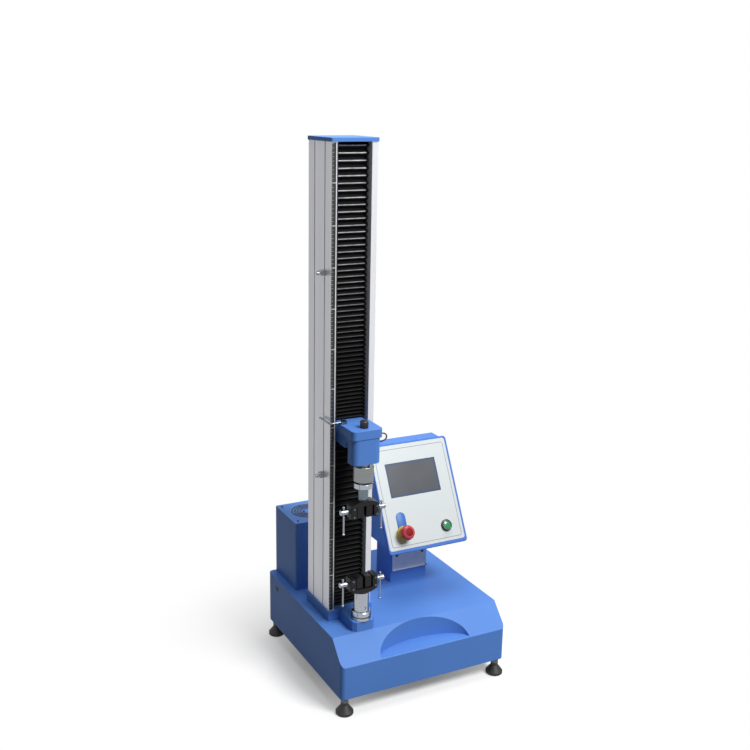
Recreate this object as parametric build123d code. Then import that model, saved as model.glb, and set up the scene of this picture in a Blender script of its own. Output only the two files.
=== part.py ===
from build123d import *
import math
import os

# Single-column universal testing machine: frame, drive, crosshead, grips and control panel.
# X runs right along the front, Y to the back, Z up. The feet stand on z = 0, and the origin
# is under the middle of the base. All sizes are in millimetres.

# Clearances
RUN = 0.05          # radial running fit of a shaft in its bore
AIR = 0.3           # gap between pieces that pass each other
CUT = 1             # how far a cutting shape reaches past a face
SHEET = 2           # sheet steel of every cover

# Base
FOOT_H = 48
BASE_W = 490
BASE_D = 484
BASE_H = 148
BASE_FRONT_H = 89
BASE_SLOPE_D = 56
BASE_CORNER_R = 12
SCOOP_W = 266
SCOOP_LIFT = 2
PLATE_T = 10
PLATE_AIR = 1
RIB_T = 8
RIB_SPAN = 104
SHAFT_HOLE_R = 15

# Levelling feet
FOOT_INSET = 17
FOOT_PAD_R = 23
FOOT_PAD_EDGE = 8
FOOT_PAD_BEVEL = 2
FOOT_NECK_R = 10
FOOT_CONE_TOP = 25
FOOT_NUT_FLATS = 19
FOOT_NUT_H = 8
FOOT_STUD_R = 6
FOOT_STUD_END = 70
FOOT_TRAVEL = 6

# Column
COL_SHARE = 0.3133      # of the base's width, from its middle to the left
COL_W = 122
COL_D = 132
COL_FRONT = -99
COL_LEN = 1194
COL_SIDE = 16
COL_BACK = 8
COL_EDGE_R = 1.5
CORE_W = 8
SLOT_W = 4
SLOT_DEPTH = 8
SLOT_LIP = 4
SLOT_HEAD_W = 9
SLOT_EDGE = 37
BLOCK_H = 28
BLOCK_MARGIN = 4
BLOCK_R = 5
BLOCK_BEVEL = 1.5
PEDESTAL_W = 62
PEDESTAL_REACH = 87
PEDESTAL_CHAMFER = 9
TOP_T = 9.5
TOP_MARGIN = 3
TOP_R = 6
TOP_EDGE_R = 1

# Drive
SCREW_Y = -4
SCREW_R = 10
SCREW_END_GAP = 0.5
SCREW_CLEAR = 1
JOURNAL_R = 8.5
JOURNAL_END = 1
BEARING_R = 20
BEARING_H = 14
BEARING_WALL = 6
BEARING_HOLE_R = 11.5
TOOTH_PITCH = 5
PULLEY_TEETH = 36
MOTOR_TEETH = 22
PULLEY_W = 16
PULLEY_RISE = 72
FLANGE_T = 2
BELT_T = 2.5
MOTOR_Y = 168
MOTOR_W = 80
MOTOR_H = 110
MOTOR_R = 38
MOTOR_FLANGE_T = 10
MOTOR_END_W = 74
MOTOR_END_H = 18
MOTOR_CORNER_R = 6
MOTOR_SHAFT_R = 7
SHAFT_NOSE_R = 3.5
SHAFT_TAIL = 4
RAIL_W = 15
RAIL_H = 15
RAIL_Y = -38
RAIL_GROOVE_R = 3
RAIL_GROOVE_OUT = 1
RAIL_END_GAP = 1
RAIL_GROOVE_SHARE = 0.55
GUIDE_GAP = 4
GUIDE_H = 28
GUIDE_W = 34
GUIDE_L = 26.5
NUT_R = 16
NUT_IN = 30
NUT_FLANGE_R = 21
NUT_FLANGE_T = 12

# Rear housing and fan
HOUSING_W = 139
HOUSING_Y0 = 95
HOUSING_Y1 = 240
HOUSING_H = 198
HOUSING_R = 4
VENT_R = 48
VENT_SLOT = 4
VENT_PITCH = 8
VENT_RINGS = 5
VENT_SPOKE = 6
FAN_W = 92
FAN_T = 25
FAN_CORNER_R = 5
FAN_WALL = 2
FAN_SPIDER_W = 6
FAN_SPIDER_T = 3
FAN_PIN_R = 3
FAN_PIN_GAP = 6
FAN_HUB_R = 17
FAN_GAP = 3
FAN_BLADES = 7
BLADE_L = 27
BLADE_T = 2
BLADE_TWIST = 38
BLADE_GAP = 1

# Crosshead
AXIS_Y = -165.5
ARM_BOTTOM = 680
SEAM_Z = 713.5
CAP_H = 23
CAP_W = 84
CAP_FRONT = -190
CAP_BACK = -108
CAP_R = 12
CAP_EDGE_R = 1.5
NECK_FRONT = -145
NECK_SLOPE = 10
NECK_STEP = 4
ARM_W = 78
ARM_NOSE_T = 16
ARM_STEP = 2
COVER_W = 77
COVER_H = 66
COVER_DEPTH = 34
COVER_SETBACK = 2
COVER_R = 16
CARRIAGE_BACK = 20
CARRIAGE_W = 33.4
CARRIAGE_PLATE_T = 9
CELL_R = 26
CELL_Z0 = 600
CELL_H = 40
CELL_NECK_R = 16
CELL_BEVEL = 1
CELL_THREAD = 12
KNOB_R = 10.5
KNOB_H = 18
KNOB_BEVEL_R = 2
KNOB_BEVEL_H = 3
KNOB_FLUTES = 12
KNOB_FLUTE_R = 1.3
KNOB_STUD_R = 4
ROD_R = 2.5
ROD_BEND = 9
ROD_LIFT = 1.5
ROD_OUT = 8
ROD_FORWARD = 17
ROD_PAST_STOP = 6
ROD_ROOT_IN = 10
CLAMP_L = 14
CLAMP_W = 14
CLAMP_R = 2
CABLE_R = 1.8
CABLE_BEND = [9.5, 9.5]
CABLE_REACH = 21
CABLE_RISE = 3
CABLE_DROP = 22

# Bellows
BELLOWS_RECESS = 14
BELLOWS_DEPTH = 14
BELLOWS_T = 1.4
BELLOWS_W = 87
BELLOWS_GAP = 2
PLEAT_LONG = 18
PLEAT_SHORT = 9

# Grips, about the axis of their clamp screws
GRIP_UPPER_Z = 522.5
GRIP_LOWER_Z = 326
YOKE_W = 78
YOKE_DEPTH = 32
YOKE_ARM = 17
YOKE_BACK = 28
YOKE_SHOULDER = 16
YOKE_EDGE_R = 5
YOKE_WALL = 15
YOKE_SPIGOT = 5
THROAT_TOP = 14
THROAT_OPEN = 20
THROAT_R = 2
JAW_T = 17
JAW_H = 30
JAW_DEPTH = 26
JAW_GAP = 7
TOOTH_STEP = 3
TOOTH_DEPTH = 0.9
SHANK_R = 6
NOSE_R = 4
NOSE_L = 5
HEAD_R = 7
HEAD_L = 19
HEAD_GAP = 4.5
HEAD_BEVEL = 1
BAR_R = 2.2
BAR_UP = 13
BAR_DOWN = 58.5
BALL_R = 3.4
RING_R = 25
RING_H = 13
RING_BEVEL = 1
RING_BORE_R = 15
RING_SLOTS = 4
RING_SLOT_W = 5
RING_SLOT_D = 3
UPPER_RING_GAP = 5
LOWER_RING_GAP = 3
LOWER_FLANGE_T = 7
ADAPTOR_R = 13
ADAPTOR_SPIGOT = 1
LOWER_ADAPTOR_R = 20
PIN_R = 4
PIN_LIFT = 12
PIN_SUNK = 4

# Limit stops
STOP_UPPER_Z = 1108
STOP_LOWER_Z = 590
STOP_W = 16
STOP_H = 13
STOP_T = 12
STOP_EDGE_R = 2
STOP_KEY = 4
THUMB_R = 4.5
THUMB_L = 6
THUMB_STEM_R = 2
THUMB_STEM_L = 5
THUMB_Y = 3

# Control panel
PANEL_SHARE = 0.195     # of the base's width, from its middle to the right
PANEL_W = 245
PANEL_L = 299
PANEL_TILT = 27.6
PANEL_Y = -84.5
PANEL_Z = 336
PANEL_T = 12
PANEL_WALL = 3
PANEL_R = 9
PANEL_EDGE_R = 2.5
CASING_INSET = 8
CASING_BACK = 114
SCREEN_U = -6
SCREEN_V = 197
SCREEN_W = 157
SCREEN_H = 94
SCREEN_SUNK = 0.6
SCREEN_LIP = 6
SCREEN_LIP_T = 3
SCREEN_BODY_IN = 3
SCREEN_BODY = 24
SCREEN_BODY_R = 4
BUTTON_V = 52
ESTOP_U = -70
ESTOP_R = 20
ESTOP_PROFILE = [(3, 0), (0, 4), (0, 9), (2.5, 15), (7, 18), (9, 18), (11, 16)]
ESTOP_TRAVEL = 6
ESTOP_COLLAR_H = 12
ESTOP_COLLAR_BEVEL = 3
ESTOP_BODY_R = 11
ESTOP_BODY_L = 45
ESTOP_STEM_R = 8
ESTOP_STEM_L = 30
ESTOP_LIFT = 1
START_U = 65
START_CAP_R = 9.5
START_BODY_R = 8.5
START_BODY_L = 22
START_PROUD = 9
START_TRAVEL = 4
START_LIFT = 1

# Stand and printer door
STAND_W = 116
STAND_FRONT = 28
STAND_R = 4
WINDOW_SIDE = 6
WINDOW_BELOW = 8
WINDOW_ABOVE = 5
DOOR_W = 106
DOOR_H = 53
DOOR_T = 3
DOOR_R = 3
DOOR_Z = 229
DOOR_KNUCKLE_R = 2.2
DOOR_PIN_R = 1.2
DOOR_PIN_L = 3
DOOR_AXIS_OUT = 1
EAR_T = 3.3
EAR_W = 5

# Power switch
SWITCH_Y = 183
SWITCH_DROP = 30
SWITCH_W = 15
SWITCH_H = 10.5
SWITCH_RIM = 1.5
SWITCH_WALL = 1
SWITCH_BODY = 18
SWITCH_WELL = 10
ROCKER_AXIS = 4
ROCKER_PIN_R = 1
ROCKER_SWING = 1.2
ROCKER_PROUD = 2.2
ROCKER_DIP = 1.2
ROCKER_BACK = 3.5
ROCKER_KEEL = 6
ROCKER_KEEL_SHARE = 0.55

# Mains inlet
INLET_X = 120
INLET_RISE = 62
INLET_W = 28
INLET_H = 20
INLET_EAR = 9
INLET_FLANGE_T = 2
INLET_FLANGE_R = 3
INLET_WALL = 2
INLET_BODY = 22
INLET_RECESS = 16
INLET_CORNER = 4
BLADE_W = 2
BLADE_H = 4
BLADE_SUNK = 2
BLADE_PLACES = [(-7, -2), (7, -2), (0, 2)]

# Places worked out from the sizes above
BASE_Z = FOOT_H
BASE_TOP = BASE_Z + BASE_H
COL_X = -BASE_W * COL_SHARE
PANEL_X = BASE_W * PANEL_SHARE
PULLEY_Z = BASE_Z + PULLEY_RISE
SWITCH_Z = BASE_TOP - SWITCH_DROP
INLET_Z = BASE_Z + INLET_RISE
FRONT = -BASE_D / 2
BLOCK_TOP = BASE_TOP + BLOCK_H
COL_TOP = BLOCK_TOP + COL_LEN
CHANNEL_W = COL_W - 2 * COL_SIDE
CHANNEL_BACK = COL_FRONT + COL_D - COL_BACK
CARRIAGE_FACE = COL_FRONT + BELLOWS_RECESS + BELLOWS_DEPTH + BELLOWS_GAP
CAP_TOP = SEAM_Z + CAP_H
PULLEY_R = PULLEY_TEETH * TOOTH_PITCH / (2 * math.pi)
MOTOR_PULLEY_R = MOTOR_TEETH * TOOTH_PITCH / (2 * math.pi)
HOUSING_Y = (HOUSING_Y0 + HOUSING_Y1) / 2
FAN_TOP = BASE_TOP + HOUSING_H - SHEET
UPPER_RING_Z = CELL_Z0 - UPPER_RING_GAP - RING_H
LOWER_FLANGE_Z = BLOCK_TOP + LOWER_FLANGE_T
LOWER_RING_Z = LOWER_FLANGE_Z + LOWER_RING_GAP
BAR_X = YOKE_W / 2 + HEAD_GAP + HEAD_L / 2
SLOT_FRONT_Y = COL_FRONT + SLOT_EDGE
SLOT_BACK_Y = COL_FRONT + COL_D - SLOT_EDGE
DOOR_AXIS_Y = STAND_FRONT - AIR - DOOR_T / 2 - DOOR_AXIS_OUT
DOOR_AXIS_Z = DOOR_Z + EAR_W / 2


def block(x0, x1, y0, y1, z0, z1):
    """Box between two corners."""
    size = Box(x1 - x0, y1 - y0, z1 - z0, align=Align.MIN)
    return Pos(x0, y0, z0) * size


def post(x, y, z0, z1, r):
    """Upright cylinder between two heights."""
    return Pos(x, y, z0) * Cylinder(r, z1 - z0, align=(Align.CENTER, Align.CENTER, Align.MIN))


def ring_of_posts(x, y, z0, z1, r, count, pin_r):
    """Upright pins spaced evenly round a circle, for cutting grooves."""
    pins = []
    for i in range(count):
        turn = 2 * math.pi * i / count
        pins.append(post(x + r * math.cos(turn), y + r * math.sin(turn), z0, z1, pin_r))
    return pins


def rod_x(x0, x1, y, z, r):
    """Cylinder along X between two places."""
    shape = Cylinder(r, x1 - x0, rotation=(0, 90, 0), align=(Align.CENTER, Align.CENTER, Align.MIN))
    return Pos(x0, y, z) * shape


def turned(points, x, y):
    """Solid of revolution about an upright axis, from (radius, height) points."""
    outline = Plane.XZ * make_face(Polyline(*points, close=True))
    return Pos(x, y, 0) * revolve(outline, Axis.Z)


def side_profile(points, x0, x1):
    """Prism along X from (y, z) points."""
    face = Plane.YZ * make_face(Polyline(*points, close=True))
    return Pos(x0, 0, 0) * extrude(face, x1 - x0)


def plan(face, z0, z1):
    """Prism upwards from a flat sketch."""
    return Pos(0, 0, z0) * extrude(face, z1 - z0)


def top_edges(shape):
    """Edges round the highest face."""
    return shape.faces().sort_by(Axis.Z)[-1].edges()


# Base

def base_outline(inset, drop):
    """Side outline of the base, moved inwards by inset and opened downwards by drop."""
    slope = (BASE_H - BASE_FRONT_H) / BASE_SLOPE_D
    shift = inset * math.sqrt(1 + slope * slope)
    y0 = FRONT + inset
    y1 = -FRONT - inset
    top = BASE_TOP - inset
    knee = BASE_Z + BASE_FRONT_H + slope * inset - shift
    crest = FRONT + (BASE_H - inset - BASE_FRONT_H + shift) / slope
    bottom = BASE_Z - drop
    points = [(y0, bottom), (y0, knee), (crest, top), (y1, top), (y1, bottom)]
    half = BASE_W / 2 - inset
    prism = side_profile(points, -half, half)
    plan_face = RectangleRounded(2 * half, BASE_D - 2 * inset, BASE_CORNER_R - inset)
    return prism & plan(plan_face, bottom, top)


def scoop(grow):
    """Curved pocket cut down through the slope, larger by grow on each face."""
    face = Pos(0, FRONT) * Ellipse(SCOOP_W / 2 + grow, BASE_SLOPE_D + grow)
    floor = BASE_Z + BASE_FRONT_H + SCOOP_LIFT - grow
    return plan(face, floor, BASE_TOP + grow)


def base_cover():
    """Sheet cover with its scooped front and the holes for the drive, the switch and the inlet."""
    inner = base_outline(SHEET, CUT) - scoop(SHEET)
    shell = base_outline(0, 0) - scoop(0) - inner
    z0 = BASE_TOP - SHEET - CUT
    z1 = BASE_TOP + CUT
    shell -= post(COL_X, SCREW_Y, z0, z1, BEARING_R)
    shell -= post(COL_X, MOTOR_Y, z0, z1, SHAFT_HOLE_R)
    side = -BASE_W / 2
    half_w = SWITCH_W / 2 - SWITCH_WALL
    half_h = SWITCH_H / 2 - SWITCH_WALL
    shell -= block(side - CUT, side + SHEET + CUT, SWITCH_Y - half_w, SWITCH_Y + half_w,
                   SWITCH_Z - half_h, SWITCH_Z + half_h)
    shell -= block(INLET_X - INLET_W / 2, INLET_X + INLET_W / 2, -FRONT - SHEET - CUT, -FRONT + CUT,
                   INLET_Z - INLET_H / 2, INLET_Z + INLET_H / 2)
    return shell


def base_plate():
    """Bottom plate with two pairs of ribs, under the column and under the panel's stand."""
    gap = SHEET + PLATE_AIR
    face = RectangleRounded(BASE_W - 2 * gap, BASE_D - 2 * gap, BASE_CORNER_R - gap)
    plate = plan(face, BASE_Z, BASE_Z + PLATE_T)
    rib_top = BASE_TOP - SHEET
    for side in (-1, 1):
        x = COL_X + side * RIB_SPAN / 2
        plate += block(x - RIB_T / 2, x + RIB_T / 2, COL_FRONT - BLOCK_MARGIN, MOTOR_Y + MOTOR_W / 2,
                       BASE_Z + PLATE_T, rib_top)
        x = PANEL_X + side * (STAND_W / 2 - RIB_T)
        plate += block(x - RIB_T / 2, x + RIB_T / 2, STAND_FRONT, CASING_BACK, BASE_Z + PLATE_T, rib_top)
    for sx, sy in FOOT_CORNERS.values():
        x, y = foot_place(sx, sy)
        plate -= post(x, y, BASE_Z - CUT, BASE_Z + PLATE_T + CUT, FOOT_STUD_R + AIR)
    return plate


FOOT_CORNERS = {"front_left": (-1, -1), "front_right": (1, -1), "rear_left": (-1, 1), "rear_right": (1, 1)}


def foot_place(sx, sy):
    """Centre of the foot at one corner."""
    return sx * (BASE_W / 2 - FOOT_INSET), sy * (BASE_D / 2 - FOOT_INSET)


def levelling_foot(sx, sy):
    """Cone-shaped pad with a hexagon and a stud through the bottom plate."""
    x, y = foot_place(sx, sy)
    r = FOOT_PAD_R
    nut_top = FOOT_H - FOOT_TRAVEL - AIR
    nut_z = nut_top - FOOT_NUT_H
    points = [(0, 0), (r - FOOT_PAD_BEVEL, 0), (r, FOOT_PAD_BEVEL), (r, FOOT_PAD_EDGE),
              (FOOT_NECK_R, FOOT_CONE_TOP), (FOOT_NECK_R, nut_z), (FOOT_STUD_R, nut_z),
              (FOOT_STUD_R, FOOT_STUD_END), (0, FOOT_STUD_END)]
    hexagon = Pos(x, y) * RegularPolygon(FOOT_NUT_FLATS / 2, 6, major_radius=False)
    return turned(points, x, y) + plan(hexagon, nut_z, nut_top)


# Column

def column_foot_block():
    """Block under the column, its nose reaching forwards as the lower grip's pedestal."""
    half = COL_W / 2 + BLOCK_MARGIN
    y0 = COL_FRONT - BLOCK_MARGIN
    y1 = COL_FRONT + COL_D + BLOCK_MARGIN
    front = COL_FRONT - PEDESTAL_REACH
    main = Pos(COL_X, (y0 + y1) / 2) * RectangleRounded(2 * half, y1 - y0, BLOCK_R)
    nose = Pos(COL_X, (front + y0) / 2) * Rectangle(PEDESTAL_W, y0 - front)
    nose = chamfer(nose.vertices().group_by(Axis.Y)[0], PEDESTAL_CHAMFER)
    body = plan(nose + main, BASE_TOP, BLOCK_TOP)
    body = chamfer(top_edges(body), BLOCK_BEVEL)
    body -= post(COL_X, SCREW_Y, BASE_TOP - CUT, BLOCK_TOP + CUT, BEARING_HOLE_R)
    return body - post(COL_X, SCREW_Y, BLOCK_TOP - BEARING_H, BLOCK_TOP + CUT, BEARING_R)


def slot_cut(y, side):
    """T-slot down one side of the column, opening towards side."""
    edge = COL_X + side * COL_W / 2
    mouth = sorted((edge + side * CUT, edge - side * SLOT_DEPTH))
    head = sorted((edge - side * SLOT_LIP, edge - side * SLOT_DEPTH))
    z0 = BLOCK_TOP - CUT
    z1 = COL_TOP + CUT
    cut = block(mouth[0], mouth[1], y - SLOT_W / 2, y + SLOT_W / 2, z0, z1)
    return cut + block(head[0], head[1], y - SLOT_HEAD_W / 2, y + SLOT_HEAD_W / 2, z0, z1)


def column_extrusion():
    """Aluminium U-profile, open to the front, with two T-slots and a hollow core in each side."""
    back = COL_FRONT + COL_D
    z0 = BLOCK_TOP - CUT
    z1 = COL_TOP + CUT
    face = Pos(COL_X, (COL_FRONT + back) / 2) * RectangleRounded(COL_W, COL_D, COL_EDGE_R)
    body = plan(face, BLOCK_TOP, COL_TOP)
    body -= block(COL_X - CHANNEL_W / 2, COL_X + CHANNEL_W / 2, COL_FRONT - CUT, CHANNEL_BACK, z0, z1)
    for side in (-1, 1):
        for y in (SLOT_FRONT_Y, SLOT_BACK_Y):
            body -= slot_cut(y, side)
        x = COL_X + side * (COL_W - COL_SIDE) / 2
        body -= block(x - CORE_W / 2, x + CORE_W / 2, SLOT_FRONT_Y + SLOT_HEAD_W, SLOT_BACK_Y - SLOT_HEAD_W,
                      z0, z1)
    return body


def top_plate():
    """Plate across the column's top, with the screw's upper bearing seat below it."""
    face = RectangleRounded(COL_W + 2 * TOP_MARGIN, COL_D + 2 * TOP_MARGIN, TOP_R)
    face = Pos(COL_X, COL_FRONT + COL_D / 2) * face
    plate = plan(face, COL_TOP, COL_TOP + TOP_T)
    plate = fillet(top_edges(plate), TOP_EDGE_R)
    boss = post(COL_X, SCREW_Y, COL_TOP - BEARING_H, COL_TOP, BEARING_R + BEARING_WALL)
    return plate + boss - post(COL_X, SCREW_Y, COL_TOP - BEARING_H - CUT, COL_TOP, BEARING_R)


def bearing_ring(z):
    """Outer and inner race of one screw bearing, drawn as one ring."""
    ring = post(COL_X, SCREW_Y, z, z + BEARING_H, BEARING_R - RUN)
    return ring - post(COL_X, SCREW_Y, z - CUT, z + BEARING_H + CUT, JOURNAL_R)


def guides_and_bearings():
    """The two linear rails inside the column and the two screw bearings."""
    solids = [bearing_ring(BLOCK_TOP - BEARING_H), bearing_ring(COL_TOP - BEARING_H)]
    for side in (-1, 1):
        wall = COL_X + side * CHANNEL_W / 2
        x0, x1 = sorted((wall, wall - side * RAIL_H))
        rail = block(x0, x1, RAIL_Y - RAIL_W / 2, RAIL_Y + RAIL_W / 2,
                     BLOCK_TOP + RAIL_END_GAP, COL_TOP - RAIL_END_GAP)
        for edge in (-1, 1):
            y = RAIL_Y + edge * (RAIL_W / 2 + RAIL_GROOVE_OUT)
            rail -= post(wall - side * RAIL_H * RAIL_GROOVE_SHARE, y, BLOCK_TOP, COL_TOP, RAIL_GROOVE_R)
        solids.append(rail)
    return solids


# Drive train

def ball_screw():
    """Screw at its outer diameter, with a plain journal at each end."""
    low = PULLEY_Z - SHAFT_TAIL
    shoulder = BLOCK_TOP + SCREW_END_GAP
    neck = COL_TOP - BEARING_H - SCREW_END_GAP
    end = COL_TOP - JOURNAL_END
    r = JOURNAL_R - RUN
    points = [(0, low), (r, low), (r, shoulder), (SCREW_R, shoulder), (SCREW_R, neck), (r, neck), (r, end),
              (0, end)]
    return turned(points, COL_X, SCREW_Y)


def toothed_pulley(y, r, bore, teeth):
    """Timing pulley with round-bottomed grooves and two flanges."""
    z1 = PULLEY_Z + PULLEY_W
    wheel = post(COL_X, y, PULLEY_Z, z1, r - AIR)
    wheel -= ring_of_posts(COL_X, y, PULLEY_Z - CUT, z1 + CUT, r, teeth, TOOTH_PITCH / 4)
    for z in (PULLEY_Z - FLANGE_T, z1):
        wheel += post(COL_X, y, z, z + FLANGE_T, r + BELT_T)
    return wheel - post(COL_X, y, PULLEY_Z - FLANGE_T - CUT, z1 + FLANGE_T + CUT, bore)


def screw_pulley():
    return toothed_pulley(SCREW_Y, PULLEY_R, JOURNAL_R, PULLEY_TEETH)


def motor_pulley():
    """Small pulley with the motor's shaft."""
    wheel = toothed_pulley(MOTOR_Y, MOTOR_PULLEY_R, SHAFT_NOSE_R, MOTOR_TEETH)
    return wheel + post(COL_X, MOTOR_Y, PULLEY_Z - SHAFT_TAIL, BASE_TOP + MOTOR_H / 2, MOTOR_SHAFT_R - RUN)


def belt_loop(grow):
    """Plan outline of the belt's path round both pulleys."""
    small = Pos(COL_X, MOTOR_Y) * Circle(MOTOR_PULLEY_R + grow)
    large = Pos(COL_X, SCREW_Y) * Circle(PULLEY_R + grow)
    return make_hull((small + large).edges())


def drive_belt():
    return plan(belt_loop(BELT_T) - belt_loop(0), PULLEY_Z + AIR, PULLEY_Z + PULLEY_W - AIR)


def drive_motor():
    """Motor hung in the rear housing: square flange, round body and square end."""
    z0 = BASE_TOP
    z1 = z0 + MOTOR_H
    place = Pos(COL_X, MOTOR_Y)
    flange = plan(place * RectangleRounded(MOTOR_W, MOTOR_W, MOTOR_CORNER_R), z0, z0 + MOTOR_FLANGE_T)
    can = post(COL_X, MOTOR_Y, z0 + MOTOR_FLANGE_T, z1 - MOTOR_END_H, MOTOR_R)
    end = plan(place * RectangleRounded(MOTOR_END_W, MOTOR_END_W, MOTOR_CORNER_R), z1 - MOTOR_END_H, z1)
    return flange + can + end - post(COL_X, MOTOR_Y, z0 - CUT, z0 + MOTOR_H / 2 + CUT, MOTOR_SHAFT_R)


# Rear housing and fan

def vent_cut(z0, z1):
    """Rings of curved slots, broken by two crossed spokes."""
    rings = []
    for i in range(VENT_RINGS):
        r = VENT_R - i * VENT_PITCH
        rings.append(post(COL_X, HOUSING_Y, z0, z1, r) - post(COL_X, HOUSING_Y, z0, z1, r - VENT_SLOT))
    reach = VENT_R + CUT
    half = VENT_SPOKE / 2
    spokes = block(-reach, reach, -half, half, z0, z1) + block(-half, half, -reach, reach, z0, z1)
    return rings[0] + rings[1:] - Pos(COL_X, HOUSING_Y, 0) * (Rot(0, 0, 45) * spokes)


def rear_housing():
    """Sheet box over the motor, open below, with the fan's vent in its top."""
    d = HOUSING_Y1 - HOUSING_Y0
    top = BASE_TOP + HOUSING_H
    place = Pos(COL_X, HOUSING_Y)
    outer = place * RectangleRounded(HOUSING_W, d, HOUSING_R)
    inner = place * RectangleRounded(HOUSING_W - 2 * SHEET, d - 2 * SHEET, HOUSING_R - SHEET)
    shell = plan(outer, BASE_TOP, top) - plan(inner, BASE_TOP - CUT, top - SHEET)
    return shell - vent_cut(top - SHEET - CUT, top + CUT)


def fan_frame():
    """Square fan body with a four-armed spider that carries the rotor's pin."""
    z0 = FAN_TOP - FAN_T
    place = Pos(COL_X, HOUSING_Y)
    body = plan(place * RectangleRounded(FAN_W, FAN_W, FAN_CORNER_R), z0, FAN_TOP)
    body -= post(COL_X, HOUSING_Y, z0 - CUT, FAN_TOP + CUT, FAN_W / 2 - FAN_WALL)
    span = FAN_W - FAN_WALL
    cross = Rectangle(span, FAN_SPIDER_W) + Rectangle(FAN_SPIDER_W, span)
    spider = plan(place * cross, z0, z0 + FAN_SPIDER_T)
    return body + spider + post(COL_X, HOUSING_Y, z0, FAN_TOP - FAN_PIN_GAP, FAN_PIN_R - RUN)


def fan_rotor():
    """Hub with tilted blades."""
    z0 = FAN_TOP - FAN_T + FAN_SPIDER_T + BLADE_GAP
    z1 = FAN_TOP - FAN_GAP
    rotor = post(COL_X, HOUSING_Y, z0, z1, FAN_HUB_R)
    for i in range(FAN_BLADES):
        blade = Rot(BLADE_TWIST, 0, 0) * Box(BLADE_L, BLADE_T, z1 - z0 - 2 * BLADE_GAP)
        blade = Pos(FAN_HUB_R + BLADE_L / 2 - BLADE_T, 0, (z0 + z1) / 2) * blade
        rotor += Pos(COL_X, HOUSING_Y, 0) * (Rot(0, 0, 360 / FAN_BLADES * i) * blade)
    return rotor - post(COL_X, HOUSING_Y, z0 - CUT, FAN_TOP - FAN_PIN_GAP + CUT, FAN_PIN_R)


# Crosshead

def crosshead_carriage():
    """Carriage inside the column: a front plate and a narrow body bored for screw and nut."""
    z0 = ARM_BOTTOM + ARM_STEP
    z1 = CAP_TOP - ARM_STEP
    y0 = CARRIAGE_FACE
    body = block(COL_X - CARRIAGE_W / 2, COL_X + CARRIAGE_W / 2, y0, CARRIAGE_BACK, z0, z1)
    body += block(COL_X - ARM_W / 2, COL_X + ARM_W / 2, y0, y0 + CARRIAGE_PLATE_T, z0, z1)
    body -= post(COL_X, SCREW_Y, ARM_BOTTOM, CAP_TOP, SCREW_R + SCREW_CLEAR)
    return body - post(COL_X, SCREW_Y, ARM_BOTTOM, ARM_BOTTOM + NUT_IN, NUT_R)


def carriage_bearings():
    """Four guide blocks on the rails and the ball nut on the screw."""
    solids = []
    for side in (-1, 1):
        wall = COL_X + side * CHANNEL_W / 2
        x0, x1 = sorted((wall - side * GUIDE_GAP, wall - side * GUIDE_H))
        rx0, rx1 = sorted((wall, wall - side * (RAIL_H + AIR)))
        half = RAIL_W / 2 + AIR
        for z in (ARM_BOTTOM + ARM_STEP, CAP_TOP - ARM_STEP - GUIDE_L):
            guide = block(x0, x1, RAIL_Y - GUIDE_W / 2, RAIL_Y + GUIDE_W / 2, z, z + GUIDE_L)
            guide -= block(rx0, rx1, RAIL_Y - half, RAIL_Y + half, z - CUT, z + GUIDE_L + CUT)
            solids.append(guide)
    z0 = ARM_BOTTOM - NUT_FLANGE_T
    nut = post(COL_X, SCREW_Y, z0, ARM_BOTTOM + NUT_IN, NUT_R - RUN)
    nut += post(COL_X, SCREW_Y, z0, ARM_BOTTOM + ARM_STEP, NUT_FLANGE_R)
    solids.append(nut - post(COL_X, SCREW_Y, z0 - CUT, ARM_BOTTOM + NUT_IN + CUT, SCREW_R + RUN))
    return solids


def crosshead_arm():
    """Cantilever: a deep root in the column, thinning to a nose over the load cell."""
    nose = CAP_FRONT + COVER_SETBACK + SHEET + AIR
    nose_z = SEAM_Z - ARM_NOSE_T
    neck = COL_FRONT - NECK_STEP
    z0 = ARM_BOTTOM + ARM_STEP
    z1 = CAP_TOP - ARM_STEP
    outline = [(CARRIAGE_FACE, z0), (CARRIAGE_FACE, z1), (neck, z1), (neck, SEAM_Z), (nose, SEAM_Z),
               (nose, nose_z), (NECK_FRONT, nose_z), (NECK_FRONT + NECK_SLOPE, ARM_BOTTOM),
               (COL_FRONT, ARM_BOTTOM), (COL_FRONT, z0)]
    half = COVER_W / 2 - SHEET - AIR
    arm = side_profile(outline, COL_X - half, COL_X + half)
    arm &= plan(cap_outline(2 * half, nose, CARRIAGE_FACE, COVER_R - SHEET), ARM_BOTTOM, CAP_TOP)
    return arm - post(COL_X, AXIS_Y, nose_z - CUT, SEAM_Z + CUT, KNOB_STUD_R + AIR)


def cap_outline(w, front, back, r):
    """Plan outline with rounded front corners and a square back."""
    face = Pos(COL_X, (front + back) / 2) * Rectangle(w, back - front)
    return fillet(face.vertices().group_by(Axis.Y)[0], r)


def arm_cap():
    """Sheet lid over the arm."""
    outer = plan(cap_outline(CAP_W, CAP_FRONT, CAP_BACK, CAP_R), SEAM_Z, CAP_TOP)
    outer = fillet(top_edges(outer), CAP_EDGE_R)
    hollow = cap_outline(CAP_W - 2 * SHEET, CAP_FRONT + SHEET, CAP_BACK - SHEET, CAP_R - SHEET)
    shell = outer - plan(hollow, SEAM_Z - CUT, CAP_TOP - SHEET)
    return shell - post(COL_X, AXIS_Y, CAP_TOP - SHEET - CUT, CAP_TOP + CUT, KNOB_STUD_R + AIR)


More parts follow.
